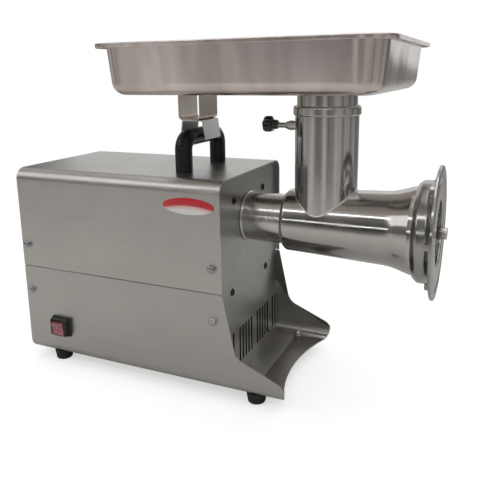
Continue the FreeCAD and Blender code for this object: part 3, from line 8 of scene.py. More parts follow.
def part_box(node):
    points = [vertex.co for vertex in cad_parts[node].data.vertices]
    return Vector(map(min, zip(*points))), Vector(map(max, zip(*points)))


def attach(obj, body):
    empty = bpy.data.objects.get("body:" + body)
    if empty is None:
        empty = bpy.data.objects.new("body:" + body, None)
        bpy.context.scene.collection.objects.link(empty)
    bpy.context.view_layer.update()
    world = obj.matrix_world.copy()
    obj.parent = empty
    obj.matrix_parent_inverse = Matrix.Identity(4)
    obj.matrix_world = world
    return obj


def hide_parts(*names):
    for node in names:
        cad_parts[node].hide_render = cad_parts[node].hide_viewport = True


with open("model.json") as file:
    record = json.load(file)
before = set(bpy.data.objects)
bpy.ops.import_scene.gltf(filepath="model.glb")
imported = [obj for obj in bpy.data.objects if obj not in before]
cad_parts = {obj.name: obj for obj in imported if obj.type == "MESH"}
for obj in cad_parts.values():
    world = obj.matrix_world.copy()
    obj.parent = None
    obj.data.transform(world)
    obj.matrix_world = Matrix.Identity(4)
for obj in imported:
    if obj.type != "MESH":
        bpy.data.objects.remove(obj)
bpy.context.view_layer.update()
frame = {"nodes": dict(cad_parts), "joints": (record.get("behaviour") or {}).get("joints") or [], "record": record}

MM = 0.001
TAU = 2 * math.pi
SHARP_ANGLE = math.radians(28)
HOUSING_HALF = 90 * MM
SHEET = 1.5 * MM
ROCKER_TILT = math.radians(10)
WASHER_RADIUS = 5.5 * MM
WASHER_THICKNESS = 1.0 * MM
FOOT_NUT_FLATS = 10 * MM
FRONT_BOLT_RISE = 106.6 * MM
FRONT_BOLT_INSET = 8 * MM
X_DIR = Vector((1, 0, 0))
Y_DIR = Vector((0, 1, 0))
Z_DIR = Vector((0, 0, 1))


def span(node):
    """The lowest and highest corners of a CAD node and its middle."""
    low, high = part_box(node)
    return low, high, (low + high) / 2


# ---------------------------------------------------------------- node helpers

class Shader:
    """A Principled material with short calls for its node graph."""

    def __init__(self, name, **sockets):
        self.material = bpy.data.materials.new(name)
        self.material.use_nodes = True
        self.tree = self.material.node_tree
        self.tree.nodes.clear()
        output = self.tree.nodes.new("ShaderNodeOutputMaterial")
        self.bsdf = self.tree.nodes.new("ShaderNodeBsdfPrincipled")
        self.tree.links.new(self.bsdf.outputs[0], output.inputs[0])
        self.place = self.add("ShaderNodeTexCoord").outputs["Object"]
        for key, value in sockets.items():
            self.bsdf.inputs[key.replace("_", " ")].default_value = value

    def add(self, kind, **settings):
        node = self.tree.nodes.new(kind)
        for key, value in settings.items():
            setattr(node, key, value)
        return node

    def feed(self, socket, value):
        if isinstance(value, bpy.types.NodeSocket):
            self.tree.links.new(value, socket)
        else:
            socket.default_value = value

    def stretched(self, scale, turn=(0, 0, 0)):
        node = self.add("ShaderNodeMapping")
        self.feed(node.inputs["Vector"], self.place)
        node.inputs["Scale"].default_value = scale
        node.inputs["Rotation"].default_value = turn
        return node.outputs[0]

    def noise(self, scale, detail=3.0, rough=0.55, vector=None, distortion=0.0):
        node = self.add("ShaderNodeTexNoise")
        self.feed(node.inputs["Vector"], vector or self.place)
        node.inputs["Scale"].default_value = scale
        node.inputs["Detail"].default_value = detail
        node.inputs["Roughness"].default_value = rough
        node.inputs["Distortion"].default_value = distortion
        return node.outputs[0]

    def cells(self, scale):
        node = self.add("ShaderNodeTexVoronoi", feature="F1")
        self.feed(node.inputs["Vector"], self.place)
        node.inputs["Scale"].default_value = scale
        return node.outputs["Distance"]

    def scaled(self, value, low, high, start=0.3, end=0.7):
        node = self.add("ShaderNodeMapRange")
        self.feed(node.inputs["Value"], value)
        node.inputs["From Min"].default_value = start
        node.inputs["From Max"].default_value = end
        node.inputs["To Min"].default_value = low
        node.inputs["To Max"].default_value = high
        return node.outputs[0]

    def maths(self, operation, first, second):
        node = self.add("ShaderNodeMath", operation=operation)
        self.feed(node.inputs[0], first)
        self.feed(node.inputs[1], second)
        return node.outputs[0]

    def ramp(self, value, stops):
        node = self.add("ShaderNodeValToRGB")
        self.feed(node.inputs[0], value)
        elements = node.color_ramp.elements
        while len(elements) < len(stops):
            elements.new(0.5)
        for element, (position, colour) in zip(elements, stops):
            element.position = position
            element.color = (*colour, 1)
        return node.outputs[0]

    def mixed(self, factor, first, second):
        node = self.add("ShaderNodeMix", data_type="RGBA")
        self.feed(node.inputs["Factor"], factor)
        self.feed(node.inputs[6], first)
        self.feed(node.inputs[7], second)
        return node.outputs[2]

    def bump(self, height, distance, strength, below=None):
        node = self.add("ShaderNodeBump")
        self.feed(node.inputs["Height"], height)
        node.inputs["Distance"].default_value = distance
        node.inputs["Strength"].default_value = strength
        if below is not None:
            self.feed(node.inputs["Normal"], below)
        return node.outputs[0]

    def finish(self, colour=None, roughness=None, normal=None):
        if colour is not None:
            self.feed(self.bsdf.inputs["Base Color"], colour)
        if roughness is not None:
            self.feed(self.bsdf.inputs["Roughness"], roughness)
        if normal is not None:
            self.feed(self.bsdf.inputs["Normal"], normal)
        return self.material


def grey(value, warm=0.0):
    return (value * (1 + warm), value, value * (1 - 1.6 * warm))


def brushed_steel(name, along, value, warm, roughness=(0.27, 0.38)):
    """Sheet steel with fine brush lines along one axis, coarser streaks and soft clouds over them."""
    shader = Shader(name, Metallic=1.0)
    fine_scale = [1500.0] * 3
    streak_scale = [170.0] * 3
    fine_scale[along] = 9.0
    streak_scale[along] = 2.6
    fine = shader.noise(1.0, 2.0, 0.6, shader.stretched(fine_scale))
    streaks = shader.noise(1.0, 3.0, 0.6, shader.stretched(streak_scale))
    clouds = shader.noise(7.0, 2.0, 0.5)
    blend = shader.maths("ADD", shader.scaled(fine, 0.0, 0.4), shader.scaled(streaks, 0.0, 0.22))
    blend = shader.maths("ADD", blend, shader.scaled(clouds, 0.0, 0.35))
    colour = shader.ramp(blend, ((0.10, grey(value * 0.93, warm)), (0.90, grey(value * 1.06, warm))))
    smudge = shader.noise(26.0, 4.0, 0.6)
    low, high = roughness
    grain = shader.scaled(fine, -0.03, 0.03)
    rough = shader.maths("ADD", shader.scaled(smudge, low, high, 0.25, 0.75), grain)
    normal = shader.bump(streaks, 0.00003, 0.2)
    normal = shader.bump(fine, 0.00002, 0.4, normal)
    return shader.finish(colour, rough, normal)


def polished_steel(name, value, warm, roughness, wave=0.0008):
    """Mirror-polished steel with the slow waves of hand-polished metal."""
    shader = Shader(name, Metallic=1.0)
    waves = shader.noise(9.0, 2.0, 0.45)
    scuffs = shader.noise(1.0, 3.0, 0.6, shader.stretched((60.0, 900.0, 500.0), (0.3, 0.5, 0.7)))
    smudge = shader.noise(34.0, 4.0, 0.62)
    tones = ((0.0, grey(value * 0.93, warm)), (1.0, grey(value * 1.04, warm)))
    colour = shader.ramp(shader.scaled(smudge, 0.0, 1.0), tones)
    low, high = roughness
    rough = shader.maths("ADD", shader.scaled(smudge, low, high), shader.scaled(scuffs, -0.02, 0.04))
    normal = shader.bump(waves, wave, 1.0)
    normal = shader.bump(scuffs, 0.00002, 0.25, normal)
    return shader.finish(colour, rough, normal)


def pressed_steel(name, light, dark):
    """Pressed and polished sheet: slow upright waves from the press tool, and a colour cast with them."""
    shader = Shader(name, Metallic=1.0)
    patches = shader.noise(1.0, 2.0, 0.45, shader.stretched((26.0, 26.0, 3.5)), 0.6)
    waves = shader.noise(1.0, 2.0, 0.4, shader.stretched((16.0, 16.0, 4.0)))
    smudge = shader.noise(30.0, 4.0, 0.6)
    colour = shader.ramp(shader.scaled(patches, 0.0, 1.0, 0.36, 0.64), ((0.0, dark), (1.0, light)))
    rough = shader.scaled(smudge, 0.13, 0.22)
    normal = shader.bump(waves, 0.0022, 1.0)
    normal = shader.bump(smudge, 0.00003, 0.3, normal)
    return shader.finish(colour, rough, normal)


def plain_metal(name, colour, roughness, grain_scale=420.0, depth=0.00004, stain=None, metallic=1.0):
    """Cast, ground or plated metal: a grain in the surface and stains in the colour."""
    shader = Shader(name, Metallic=metallic)
    grain = shader.noise(grain_scale, 3.0, 0.6)
    clouds = shader.noise(22.0, 4.0, 0.6)
    dark = tuple(c * 0.72 for c in colour) if stain is None else stain
    tone = shader.ramp(shader.scaled(clouds, 0.0, 1.0), ((0.1, dark), (0.85, colour)))
    rough = shader.scaled(grain, roughness * 0.8, roughness * 1.25)
    return shader.finish(tone, rough, shader.bump(grain, depth, 0.6))


def moulded(name, colour, roughness, grain_scale=900.0, depth=0.00005, coat=0.0):
    """Moulded plastic or rubber with a fine skin."""
    shader = Shader(name, Metallic=0.0, Coat_Weight=coat, Coat_Roughness=0.08, Specular_IOR_Level=0.5)
    skin = shader.cells(grain_scale)
    clouds = shader.noise(60.0, 3.0, 0.6)
    lighter = tuple(min(1.0, c * 1.5 + 0.004) for c in colour)
    tone = shader.ramp(shader.scaled(clouds, 0.0, 1.0), ((0.2, colour), (1.0, lighter)))
    rough = shader.scaled(clouds, roughness * 0.85, roughness * 1.2)
    return shader.finish(tone, rough, shader.bump(skin, depth, 0.5))


def coated_black(name):
    """Semi-gloss black coating on steel tube, with a slight orange peel and rubbed places."""
    shader = Shader(name, Metallic=0.0, Coat_Weight=0.30, Coat_Roughness=0.05, Specular_IOR_Level=0.25)
    peel = shader.noise(520.0, 2.0, 0.5)
    rub = shader.noise(45.0, 5.0, 0.65)
    tone = shader.ramp(rub, ((0.35, (0.004, 0.004, 0.0045)), (0.72, (0.012, 0.012, 0.0115))))
    return shader.finish(tone, shader.scaled(rub, 0.24, 0.36), shader.bump(peel, 0.00005, 0.5))


def badge_enamel(name, low, high):
    """Red print, a crescent along the upper edge that turns white below, under a clear dome."""
    shader = Shader(name, Metallic=0.0, Roughness=0.22, Coat_Weight=0.8, Coat_Roughness=0.04)
    split = shader.add("ShaderNodeSeparateXYZ")
    shader.feed(split.inputs[0], shader.place)
    height = shader.scaled(split.outputs["Z"], 0.0, 1.0, low.z, high.z)
    across = shader.scaled(split.outputs["X"], -1.0, 1.0, low.x, high.x)
    ends = shader.maths("MULTIPLY", shader.maths("MULTIPLY", across, across), 0.22)
    height = shader.maths("ADD", shader.maths("ADD", height, ends), -0.07)
    speck = shader.noise(1400.0, 2.0, 0.5)
    height = shader.maths("ADD", height, shader.scaled(speck, -0.03, 0.03))
    red = (0.60, 0.010, 0.022)
    tone = shader.ramp(height, ((0.20, (0.88, 0.86, 0.84)), (0.40, (0.84, 0.56, 0.54)), (0.52, red),
                                (0.95, (0.66, 0.014, 0.026))))
    return shader.finish(tone, None, shader.bump(speck, 0.00001, 0.3))


# ---------------------------------------------------------------- mesh helpers

def as_object(name, bm):
    bmesh.ops.recalc_face_normals(bm, faces=bm.faces)
    mesh = bpy.data.meshes.new(name)
    bm.to_mesh(mesh)
    bm.free()
    smooth(mesh)
    piece = bpy.data.objects.new(name, mesh)
    bpy.context.scene.collection.objects.link(piece)
    return piece


def smooth(mesh):
    """Smooth faces, with every edge sharper than SHARP_ANGLE kept hard."""
    mesh.polygons.foreach_set("use_smooth", [True] * len(mesh.polygons))
    mesh.set_sharp_from_angle(angle=SHARP_ANGLE)


def rounded(corners, closed=True, steps=6):
    """A 2-D line from (u, v, radius) corners, with an arc at each."""
    count = len(corners)
    line = []
    for i, (u, v, radius) in enumerate(corners):
        corner = Vector((u, v))
        if radius <= 0 or (not closed and i in (0, count - 1)):
            line.append(corner)
            continue
        back = (Vector(corners[i - 1][:2]) - corner).normalized()
        ahead = (Vector(corners[(i + 1) % count][:2]) - corner).normalized()
        half = back.angle(ahead) / 2
        bisector = (back + ahead).normalized()
        centre = corner + bisector * (radius / math.sin(half))
        start = corner + back * (radius / math.tan(half)) - centre
        end = corner + ahead * (radius / math.tan(half)) - centre
        sweep = start.angle_signed(end)
        for k in range(steps + 1):
            turn = -sweep * k / steps
            line.append(centre + Vector((start.x * math.cos(turn) - start.y * math.sin(turn),
                                         start.x * math.sin(turn) + start.y * math.cos(turn))))
    return line


def loft(bm, loops, wrap=True):
    """Quads between successive loops of points. wrap joins the last loop to the first."""
    rows = [[bm.verts.new(p) for p in loop] for loop in loops]
    pairs = list(zip(rows, rows[1:]))
    if wrap:
        pairs.append((rows[-1], rows[0]))
    for first, second in pairs:
        for i in range(len(first)):
            j = (i + 1) % len(first)
            bm.faces.new((first[i], first[j], second[j], second[i]))
    return rows


def cap(bm, row):
    bm.faces.new(row)


def capped_loft(bm, loops):
    """Quads between successive loops, with the first and last loop closed flat."""
    rows = loft(bm, loops, wrap=False)
    cap(bm, rows[0])
    cap(bm, rows[-1])


def ring_of(centre, side, other, radius, segments):
    """A circle of points in the plane of two directions."""
    turns = [TAU * k / segments for k in range(segments)]
    return [centre + (side * math.cos(turn) + other * math.sin(turn)) * radius for turn in turns]


def turned(line, centre, axis, segments):
    """One circle for each (distance along the axis, radius) of a line."""
    axis = Vector(axis)
    side = axis.orthogonal().normalized()
    other = axis.cross(side)
    return [ring_of(Vector(centre) + axis * along, side, other, radius, segments) for along, radius in line]


def lathe(bm, line, centre, axis, segments):
    """A closed line of (distance along the axis, radius) turned about the axis."""
    return loft(bm, turned(line, centre, axis, segments))


def solid_lathe(bm, line, centre, axis, segments):
    """A line of (along, radius) turned about the axis, with its two ends closed flat."""
    capped_loft(bm, turned(line, centre, axis, segments))


def profile(corners, steps=6):
    """The (along, radius) pairs of a rounded outline."""
    return [(p.x, p.y) for p in rounded(corners, steps=steps)]


def prism(bm, line, place):
    """A flat outline pushed between two places. place(u, v, end) gives the point for end 0 or 1."""
    capped_loft(bm, [[place(p.x, p.y, end) for p in line] for end in (0, 1)])


def tube(bm, path, radius, segments, closed=True):
    """A round bar along a path of points."""
    count = len(path)
    loops = []
    normal = None
    for i, point in enumerate(path):
        if closed:
            ahead = path[(i + 1) % count] - path[i - 1]
        else:
            ahead = path[min(i + 1, count - 1)] - path[max(i - 1, 0)]
        ahead.normalize()
        if normal is None:
            normal = ahead.orthogonal().normalized()
        normal = (normal - ahead * normal.dot(ahead)).normalized()
        other = ahead.cross(normal)
        loops.append(ring_of(point, normal, other, radius, segments))
    if closed:
        loft(bm, loops)
    else:
        capped_loft(bm, loops)


def bevelled(piece, width, segments=2):
    modifier = piece.modifiers.new("edge", "BEVEL")
    modifier.width = width
    modifier.segments = segments
    modifier.limit_method = "ANGLE"
    modifier.angle_limit = math.radians(35)
    modifier.harden_normals = True
    return piece


def settle(piece, body, slot, material, *nodes):
    """Gives a piece its finish, its body and the CAD nodes that it stands for."""
    piece.data.materials.clear()
    piece.data.materials.append(material)
    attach(piece, body)
    if nodes:
        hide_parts(*nodes)
    return piece


# ---------------------------------------------------------------- materials

cover_steel = brushed_steel("cover_steel", 0, 0.55, warm=0.022)
base_steel = brushed_steel("base_steel", 0, 0.53, warm=0.020)
front_steel = brushed_steel("front_steel", 1, 0.36, warm=0.008)
tray_steel = pressed_steel("tray_steel", (0.79, 0.72, 0.70), (0.58, 0.52, 0.49))
tray_floor_steel = pressed_steel("tray_floor_steel", (0.71, 0.65, 0.625), (0.66, 0.60, 0.575))
head_steel = polished_steel("head_steel", 0.56, warm=0.02, roughness=(0.08, 0.16))
# a darker, rougher copy of the ring steel: painted shade for the ring's faces that look forward along +X
ring_face_shade_steel = polished_steel("ring_face_shade_steel", 0.28, warm=0.01, roughness=(0.16, 0.26), wave=0.0003)
ring_steel = polished_steel("ring_steel", 0.41, warm=0.015, roughness=(0.10, 0.20), wave=0.0003)
fastener_steel = plain_metal("fastener_steel", grey(0.55), 0.26)
gear_steel = plain_metal("gear_steel", grey(0.40), 0.30)
tool_steel = plain_metal("tool_steel", grey(0.46), 0.28, stain=grey(0.30, 0.03))
core_steel = plain_metal("core_steel", (0.10, 0.11, 0.12), 0.5, 260.0)
cast_metal = plain_metal("cast_metal", (0.50, 0.51, 0.52), 0.48, 300.0, 0.00012)
copper_wire = plain_metal("copper_wire", (0.62, 0.26, 0.12), 0.3, 700.0, 0.0002)
bronze_metal = plain_metal("bronze_metal", (0.55, 0.36, 0.14), 0.32)
black_oxide = plain_metal("black_oxide", (0.030, 0.030, 0.032), 0.38, 500.0, 0.00004, metallic=0.6)
white_can = plain_metal("white_can", (0.72, 0.72, 0.70), 0.3, 300.0, 0.00002, stain=(0.62, 0.62, 0.60),
                        metallic=0.0)
black_handle = coated_black("black_handle")
black_plastic = moulded("black_plastic", (0.010, 0.010, 0.011), 0.30)
knob_plastic = moulded("knob_plastic", (0.008, 0.008, 0.009), 0.16, 300.0, 0.00001, coat=0.6)
black_rubber = moulded("black_rubber", (0.014, 0.014, 0.014), 0.62, 1200.0, 0.00012)
rocker_red = moulded("rocker_red", (0.34, 0.100, 0.115), 0.20, 500.0, 0.00001, coat=0.7)

bracket_steel = brushed_steel("bracket_steel", 1, 0.58, warm=0.09, roughness=(0.22, 0.32))
saddle_steel = brushed_steel("saddle_steel", 1, 0.78, warm=0.01, roughness=(0.34, 0.46))
# a darker copy of the brushed base steel: painted shade for the floor and the inner wing faces between the wings
wing_shade_steel = brushed_steel("wing_shade_steel", 1, 0.21, warm=0.05, roughness=(0.30, 0.42))
slot_shade = plain_metal("slot_shade", (0.012, 0.012, 0.012), 0.7, metallic=0.0)
neck_steel = polished_steel("neck_steel", 0.66, warm=0.015, roughness=(0.16, 0.26), wave=0.0003)
weld_steel = plain_metal("weld_steel", grey(0.85), 0.30, 900.0, 0.00006)
washer_steel = plain_metal("washer_steel", grey(0.62), 0.22)
white_print = moulded("white_print", (0.50, 0.34, 0.35), 0.35)
badge_low, badge_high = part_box("name_badge")
badge_red = badge_enamel("badge_red", badge_low, badge_high)

NODE_MATERIALS = {
    "satin_steel": cover_steel, "polished_steel": head_steel, "tray_steel": tray_steel,
    "bright_fastener": fastener_steel, "black_steel": black_oxide, "black_handle": black_handle,
    "black_plastic": black_plastic, "black_rubber": black_rubber, "red_rocker": rocker_red,
    "cast_aluminium": cast_metal, "gear_steel": gear_steel, "core_steel": core_steel, "copper": copper_wire,
    "bronze": bronze_metal, "white_can": white_can, "tool_steel": tool_steel,
}
for part in frame["record"]["subparts"]:
    node = frame["nodes"][part["node"]]
    finish = NODE_MATERIALS.get(part["material_slot"], rocker_red)
    node.data.materials.clear()
    node.data.materials.append(finish)
    smooth(node.data)
for name, finish in (("base_tray", base_steel), ("front_plate", front_steel), ("rear_panel", front_steel),
                     ("ring_nut", ring_steel)):
    frame["nodes"][name].data.materials[0] = finish


def face_finish(mesh, finish, chosen):
    """A second finish on the faces of a mesh picked by their middle and normal."""
    mesh.materials.append(finish)
    index = len(mesh.materials) - 1
    for face in mesh.polygons:
        if chosen(face.center, face.normal):
            face.material_index = index


EDGE_MARGIN = 3 * MM
FRONT_VENTS_TOP = 70 * MM
REAR_VENTS_Z = (78 * MM, 190 * MM)
REAR_VENTS_HALF = 60 * MM
plate_low, plate_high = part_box("front_plate")


def between_wings(at, to):
    """The floor in front of the plate and the inner sides of the two wings, which get a darker copy of the base
    steel as painted shade.
    """
    faces_in = to.y * at.y < -0.02 * abs(at.y)
    return at.x > plate_low.x - 1 * MM and abs(to.x) < 0.9 and (to.z > 0.2 or faces_in)


def in_front_vent(at, to):
    """The sides of the front plate's slots."""
    inside = abs(at.y) < plate_high.y - EDGE_MARGIN and at.z > plate_low.z + EDGE_MARGIN
    return abs(to.x) < 0.5 and at.z < FRONT_VENTS_TOP and inside


def in_rear_vent(at, to):
    """The sides of the rear panel's slots."""
    inside = REAR_VENTS_Z[0] < at.z < REAR_VENTS_Z[1] and abs(at.y) < REAR_VENTS_HALF
    return abs(to.x) < 0.5 and inside


# painted shade: the base's floor in front of the plate and the inner wing faces get the darker steel
face_finish(frame["nodes"]["base_tray"].data, wing_shade_steel, between_wings)
face_finish(frame["nodes"]["front_plate"].data, slot_shade, in_front_vent)
face_finish(frame["nodes"]["rear_panel"].data, slot_shade, in_rear_vent)


# ---------------------------------------------------------------- feed tray

ARC_STEPS = 12
SIDE_STEPS = 14


def rounded_rectangle(low, high, inset, corner, z):
    """The points of a level rounded rectangle, always the same number of them."""
    x0, x1 = low.x + inset, high.x - inset
    y0, y1 = low.y + inset, high.y - inset
    radius = max(corner - inset, 1.0 * MM)
    centres = ((x1 - radius, y1 - radius, 0), (x0 + radius, y1 - radius, 1), (x0 + radius, y0 + radius, 2),
               (x1 - radius, y0 + radius, 3))
    points = []
    for cx, cy, quarter in centres:
        for k in range(ARC_STEPS + 1):
            turn = math.pi / 2 * (quarter + k / ARC_STEPS)
            points.append(Vector((cx + radius * math.cos(turn), cy + radius * math.sin(turn), z)))
    full = []
    for i, point in enumerate(points):
        full.append(point)
        if i % (ARC_STEPS + 1) == ARC_STEPS:
            following = points[(i + 1) % len(points)]
            full += [point.lerp(following, k / SIDE_STEPS) for k in range(1, SIDE_STEPS)]
    return full


def make_tray():
    """The pan: a drafted wall with a broad bend below, a level rim and its turned-down lip."""
    low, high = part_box("feed_tray")
    throat_low, throat_high, throat = span("tray_throat")
    hole = (throat_high.y - throat_low.y) / 2
    corner = 31 * MM
    wall_corner = 30 * MM
    rim = 8.5 * MM
    draft = 5 * MM
    bend = 14 * MM
    lip = 5 * MM
    floor_run = 40 * MM
    bottom, top = low.z, high.z
    foot = rim + draft
    section = rounded((
        (foot + SHEET + floor_run, bottom + SHEET, 0), (foot + SHEET, bottom + SHEET, bend - SHEET),
        (rim + SHEET, top, 2.2 * MM), (0, top - 0.5 * MM, 1.3 * MM), (0.6 * MM, top - lip, 0.6 * MM),
        (1.7 * MM, top - lip, 0), (SHEET, top - SHEET - 0.5 * MM, 0.6 * MM), (rim, top - SHEET, 3.2 * MM),
        (foot, bottom, bend), (foot + floor_run, bottom, 0)), closed=False, steps=8)
    loops = []
    for inset, z in section:
        wall = min(max((inset - 3 * MM) / (rim - 3 * MM), 0), 1)
        radius = corner * (1 - wall) + (wall_corner + rim) * wall
        loops.append(rounded_rectangle(low, high, inset, radius, z))
    centre = Vector((throat.x, throat.y, 0))

    def hole_loop(pattern, radius, z):
        loop = []
        for point in pattern:
            away = Vector((point.x - centre.x, point.y - centre.y, 0)).normalized()
            loop.append(Vector((centre.x, centre.y, z)) + away * radius)
        return loop

    first, last = loops[0], loops[-1]
    edge = 2.5 * MM
    gap = 0.1 * MM
    loops.insert(0, hole_loop(first, hole + edge, bottom + SHEET))
    loops.insert(0, hole_loop(first, hole + gap, bottom + SHEET))
    loops += [hole_loop(last, hole + edge, bottom), hole_loop(last, hole + gap, bottom)]
    bm = bmesh.new()
    loft(bm, loops)
    pan = settle(as_object("tray_pan", bm), "tray", "tray_steel", tray_steel, "feed_tray")
    face_finish(pan.data, tray_floor_steel, lambda at, to: abs(to.z) > 0.95 and at.z < bottom + 4 * MM)


# ---------------------------------------------------------------- sheet-metal tray support

def bent_sheet(name, node, outline, material):
    """A bent strip: a closed (x, z) outline pushed along Y over the node's width, with softened edges."""
    low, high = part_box(node)
    bm = bmesh.new()
    prism(bm, outline, lambda u, v, end: Vector((u, low.y if end == 0 else high.y, v)))
    piece = bevelled(as_object(name, bm), 0.3 * MM)
    return settle(piece, "tray", "tray_steel", material, node)


def make_bracket():
    low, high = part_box("tray_bracket")
    t = SHEET
    bend = 5 * MM
    line = rounded(((low.x, high.z, 0), (low.x, low.z, bend), (high.x, low.z, bend), (high.x, high.z, 0),
                    (high.x - t, high.z, 0), (high.x - t, low.z + t, bend - t),
                    (low.x + t, low.z + t, bend - t), (low.x + t, high.z, 0)))
    bent_sheet("bracket_channel", "tray_bracket", line, bracket_steel)


def make_saddle():
    low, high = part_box("tray_saddle")
    t = SHEET
    splay = 3 * MM
    line = rounded(((low.x, low.z, 0), (low.x + splay, high.z, 2 * MM), (high.x - splay, high.z, 2 * MM),
                    (high.x, low.z, 0), (high.x - t, low.z, 0), (high.x - splay - t, high.z - t, 0.6 * MM),
                    (low.x + splay + t, high.z - t, 0.6 * MM), (low.x + t, low.z, 0)))
    bent_sheet("saddle_channel", "tray_saddle", line, saddle_steel)


def make_support_welds():
    """Weld beads between the bracket and the tray."""
    low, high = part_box("tray_bracket")
    count = 40
    bead, ripple = 1.1 * MM, 0.12 * MM
    inset, drop = 1 * MM, 0.9 * MM
    length = high.y - low.y - 2 * inset
    for name, x in (("bracket_weld_rear", low.x + SHEET), ("bracket_weld_front", high.x - SHEET)):
        path = []
        for k in range(count + 1):
            z = high.z - drop + ripple * math.sin(k * 2.4)
            path.append(Vector((x, low.y + inset + length * k / count, z)))
        bm = bmesh.new()
        tube(bm, path, bead, 10, closed=False)
        settle(as_object(name, bm), "tray", "tray_steel", weld_steel)


# ---------------------------------------------------------------- carrying handle

def make_handle():
    low, high, middle = span("carry_handle")
    radius = (high.x - low.x) / 2
    bend = 14 * MM
    y0, y1, top = low.y + radius, high.y - radius, high.z - radius
    line = rounded(((y0, low.z, 0), (y0, top, bend), (y1, top, bend), (y1, low.z, 0)), closed=False, steps=12)
    path = []
    for first, second in zip(line, line[1:]):
        pieces = max(1, int((second - first).length / (4 * MM)))
        for k in range(pieces):
            point = first.lerp(second, k / pieces)
            path.append(Vector((middle.x, point.x, point.y)))
    path.append(Vector((middle.x, line[-1].x, line[-1].y)))
    bm = bmesh.new()
    tube(bm, path, radius, 40, closed=False)
    settle(as_object("handle_bar", bm), "root", "black_handle", black_handle, "carry_handle")


# ---------------------------------------------------------------- neck, head and ring nut

def make_neck():
    """The round socket with its flange behind the front plate and a weld bead in front of it."""
    low, high, middle = span("neck_tube")
    axis_z = middle.z
    x0, x1, face = low.x, high.x, plate_high.x
    radius = 28.9 * MM
    flange = high.z - axis_z
    flange_x = x0 + 4 * MM
    step_x = x0 + 17 * MM
    rear_bore, bore = 22.5 * MM, 25 * MM
    bead_x = face + 0.2 * MM
    line = profile((
        (x0, rear_bore, 0), (x0, flange, 0), (flange_x, flange, 0), (flange_x, radius, 0),
        (bead_x, radius, 0), (bead_x, radius + 1.2 * MM, 0.5 * MM),
        (bead_x + 1.7 * MM, radius + 1.1 * MM, 0.7 * MM), (bead_x + 2.2 * MM, radius, 0.5 * MM),
        (x1, radius, 1.0 * MM), (x1, bore, 0), (step_x, bore, 0), (step_x, rear_bore, 0)))
    bm = bmesh.new()
    lathe(bm, line, (0, 0, axis_z), X_DIR, 128)
    settle(as_object("neck_sleeve", bm), "root", "polished_steel", neck_steel, "neck_tube")


def make_head_weld():
    """The polished weld seam where the upright tube meets the barrel."""
    low, high, middle = span("feed_tube")
    _, neck_high, neck = span("neck_tube")
    collar_step = 2.0 * MM
    tube_radius = (high.y - low.y) / 2 - collar_step
    barrel_rear_radius = 35.8 * MM
    barrel_taper = 5.2 / 121
    bead = 0.85 * MM
    count = 220
    path = []
    for k in range(count):
        turn = TAU * k / count
        x = middle.x + tube_radius * math.cos(turn)
        y = tube_radius * math.sin(turn)
        barrel = barrel_rear_radius + (x - neck_high.x) * barrel_taper
        z = neck.z + math.sqrt(max(barrel * barrel - y * y, 0))
        away = Vector((math.cos(turn), math.sin(turn), 0)) * 0.25 * MM
        path.append(Vector((x, y, z + 0.1 * MM)) + away)
    bm = bmesh.new()
    tube(bm, path, bead, 10)
    settle(as_object("head_weld", bm), "root", "polished_steel", weld_steel)


def make_ring():
    """The ring nut with its wide hand flange, a groove round the flange and six grip lugs behind it."""
    low, high, middle = span("ring_nut")
    axis_z = middle.z
    x0, x1 = low.x, high.x
    disc = (high.z - low.z) / 2
    body = 55 * MM
    disc_rear = x1 - 3.2 * MM
    thread, opening = 46.4 * MM, 36 * MM
    lip_x = x1 - 5.2 * MM
    groove_inner, groove_outer = 58 * MM, 64 * MM
    groove_wall = 0.8 * MM
    groove_x = x1 - 0.7 * MM
    line = profile((
        (x0, thread, 0), (x0, body - 4.5 * MM, 1.5 * MM), (x0 + 5 * MM, body, 4 * MM),
        (disc_rear - 5.5 * MM, body, 3 * MM), (disc_rear - 0.6 * MM, body + 5.5 * MM, 5 * MM),
        (disc_rear, disc, 0.8 * MM), (x1, disc, 1.2 * MM), (x1, groove_outer, 0),
        (groove_x, groove_outer - groove_wall, 0.3 * MM), (groove_x, groove_inner + groove_wall, 0.3 * MM),
        (x1, groove_inner, 0), (x1, opening, 1.6 * MM), (lip_x, opening, 0), (lip_x, thread, 0)), steps=8)
    bm = bmesh.new()
    lathe(bm, line, (0, 0, axis_z), X_DIR, 192)
    ring = settle(as_object("ring_body", bm), "ring", "polished_steel", ring_steel, "ring_nut")
    # painted shade: the faces that look along +X get the darker copy of the ring steel
    face_finish(ring.data, ring_face_shade_steel, lambda at, to: to.x > 0.9)
    lugs = 6
    lug_inner, lug_outer, lug_half = 51 * MM, 62 * MM, 3 * MM
    lug_ends = (0.3 * MM, -6 * MM)
    outline = rounded(((lug_inner, -lug_half, 0), (lug_outer, -lug_half, 1 * MM),
                       (lug_outer, lug_half, 1 * MM), (lug_inner, lug_half, 0)))
    base = Vector((disc_rear, 0, axis_z))
    bm = bmesh.new()
    for i in range(lugs):
        turn = TAU * i / lugs + math.radians(30)
        out = Vector((0, -math.sin(turn), math.cos(turn)))
        along = Vector((0, -math.cos(turn), -math.sin(turn)))
        prism(bm, outline, lambda u, v, end: base + out * u + along * v + X_DIR * lug_ends[end])
    lug_piece = bevelled(as_object("ring_lugs", bm), 0.5 * MM)
    settle(lug_piece, "ring", "polished_steel", ring_steel)


# ---------------------------------------------------------------- lock knobs, feet, switch and badge

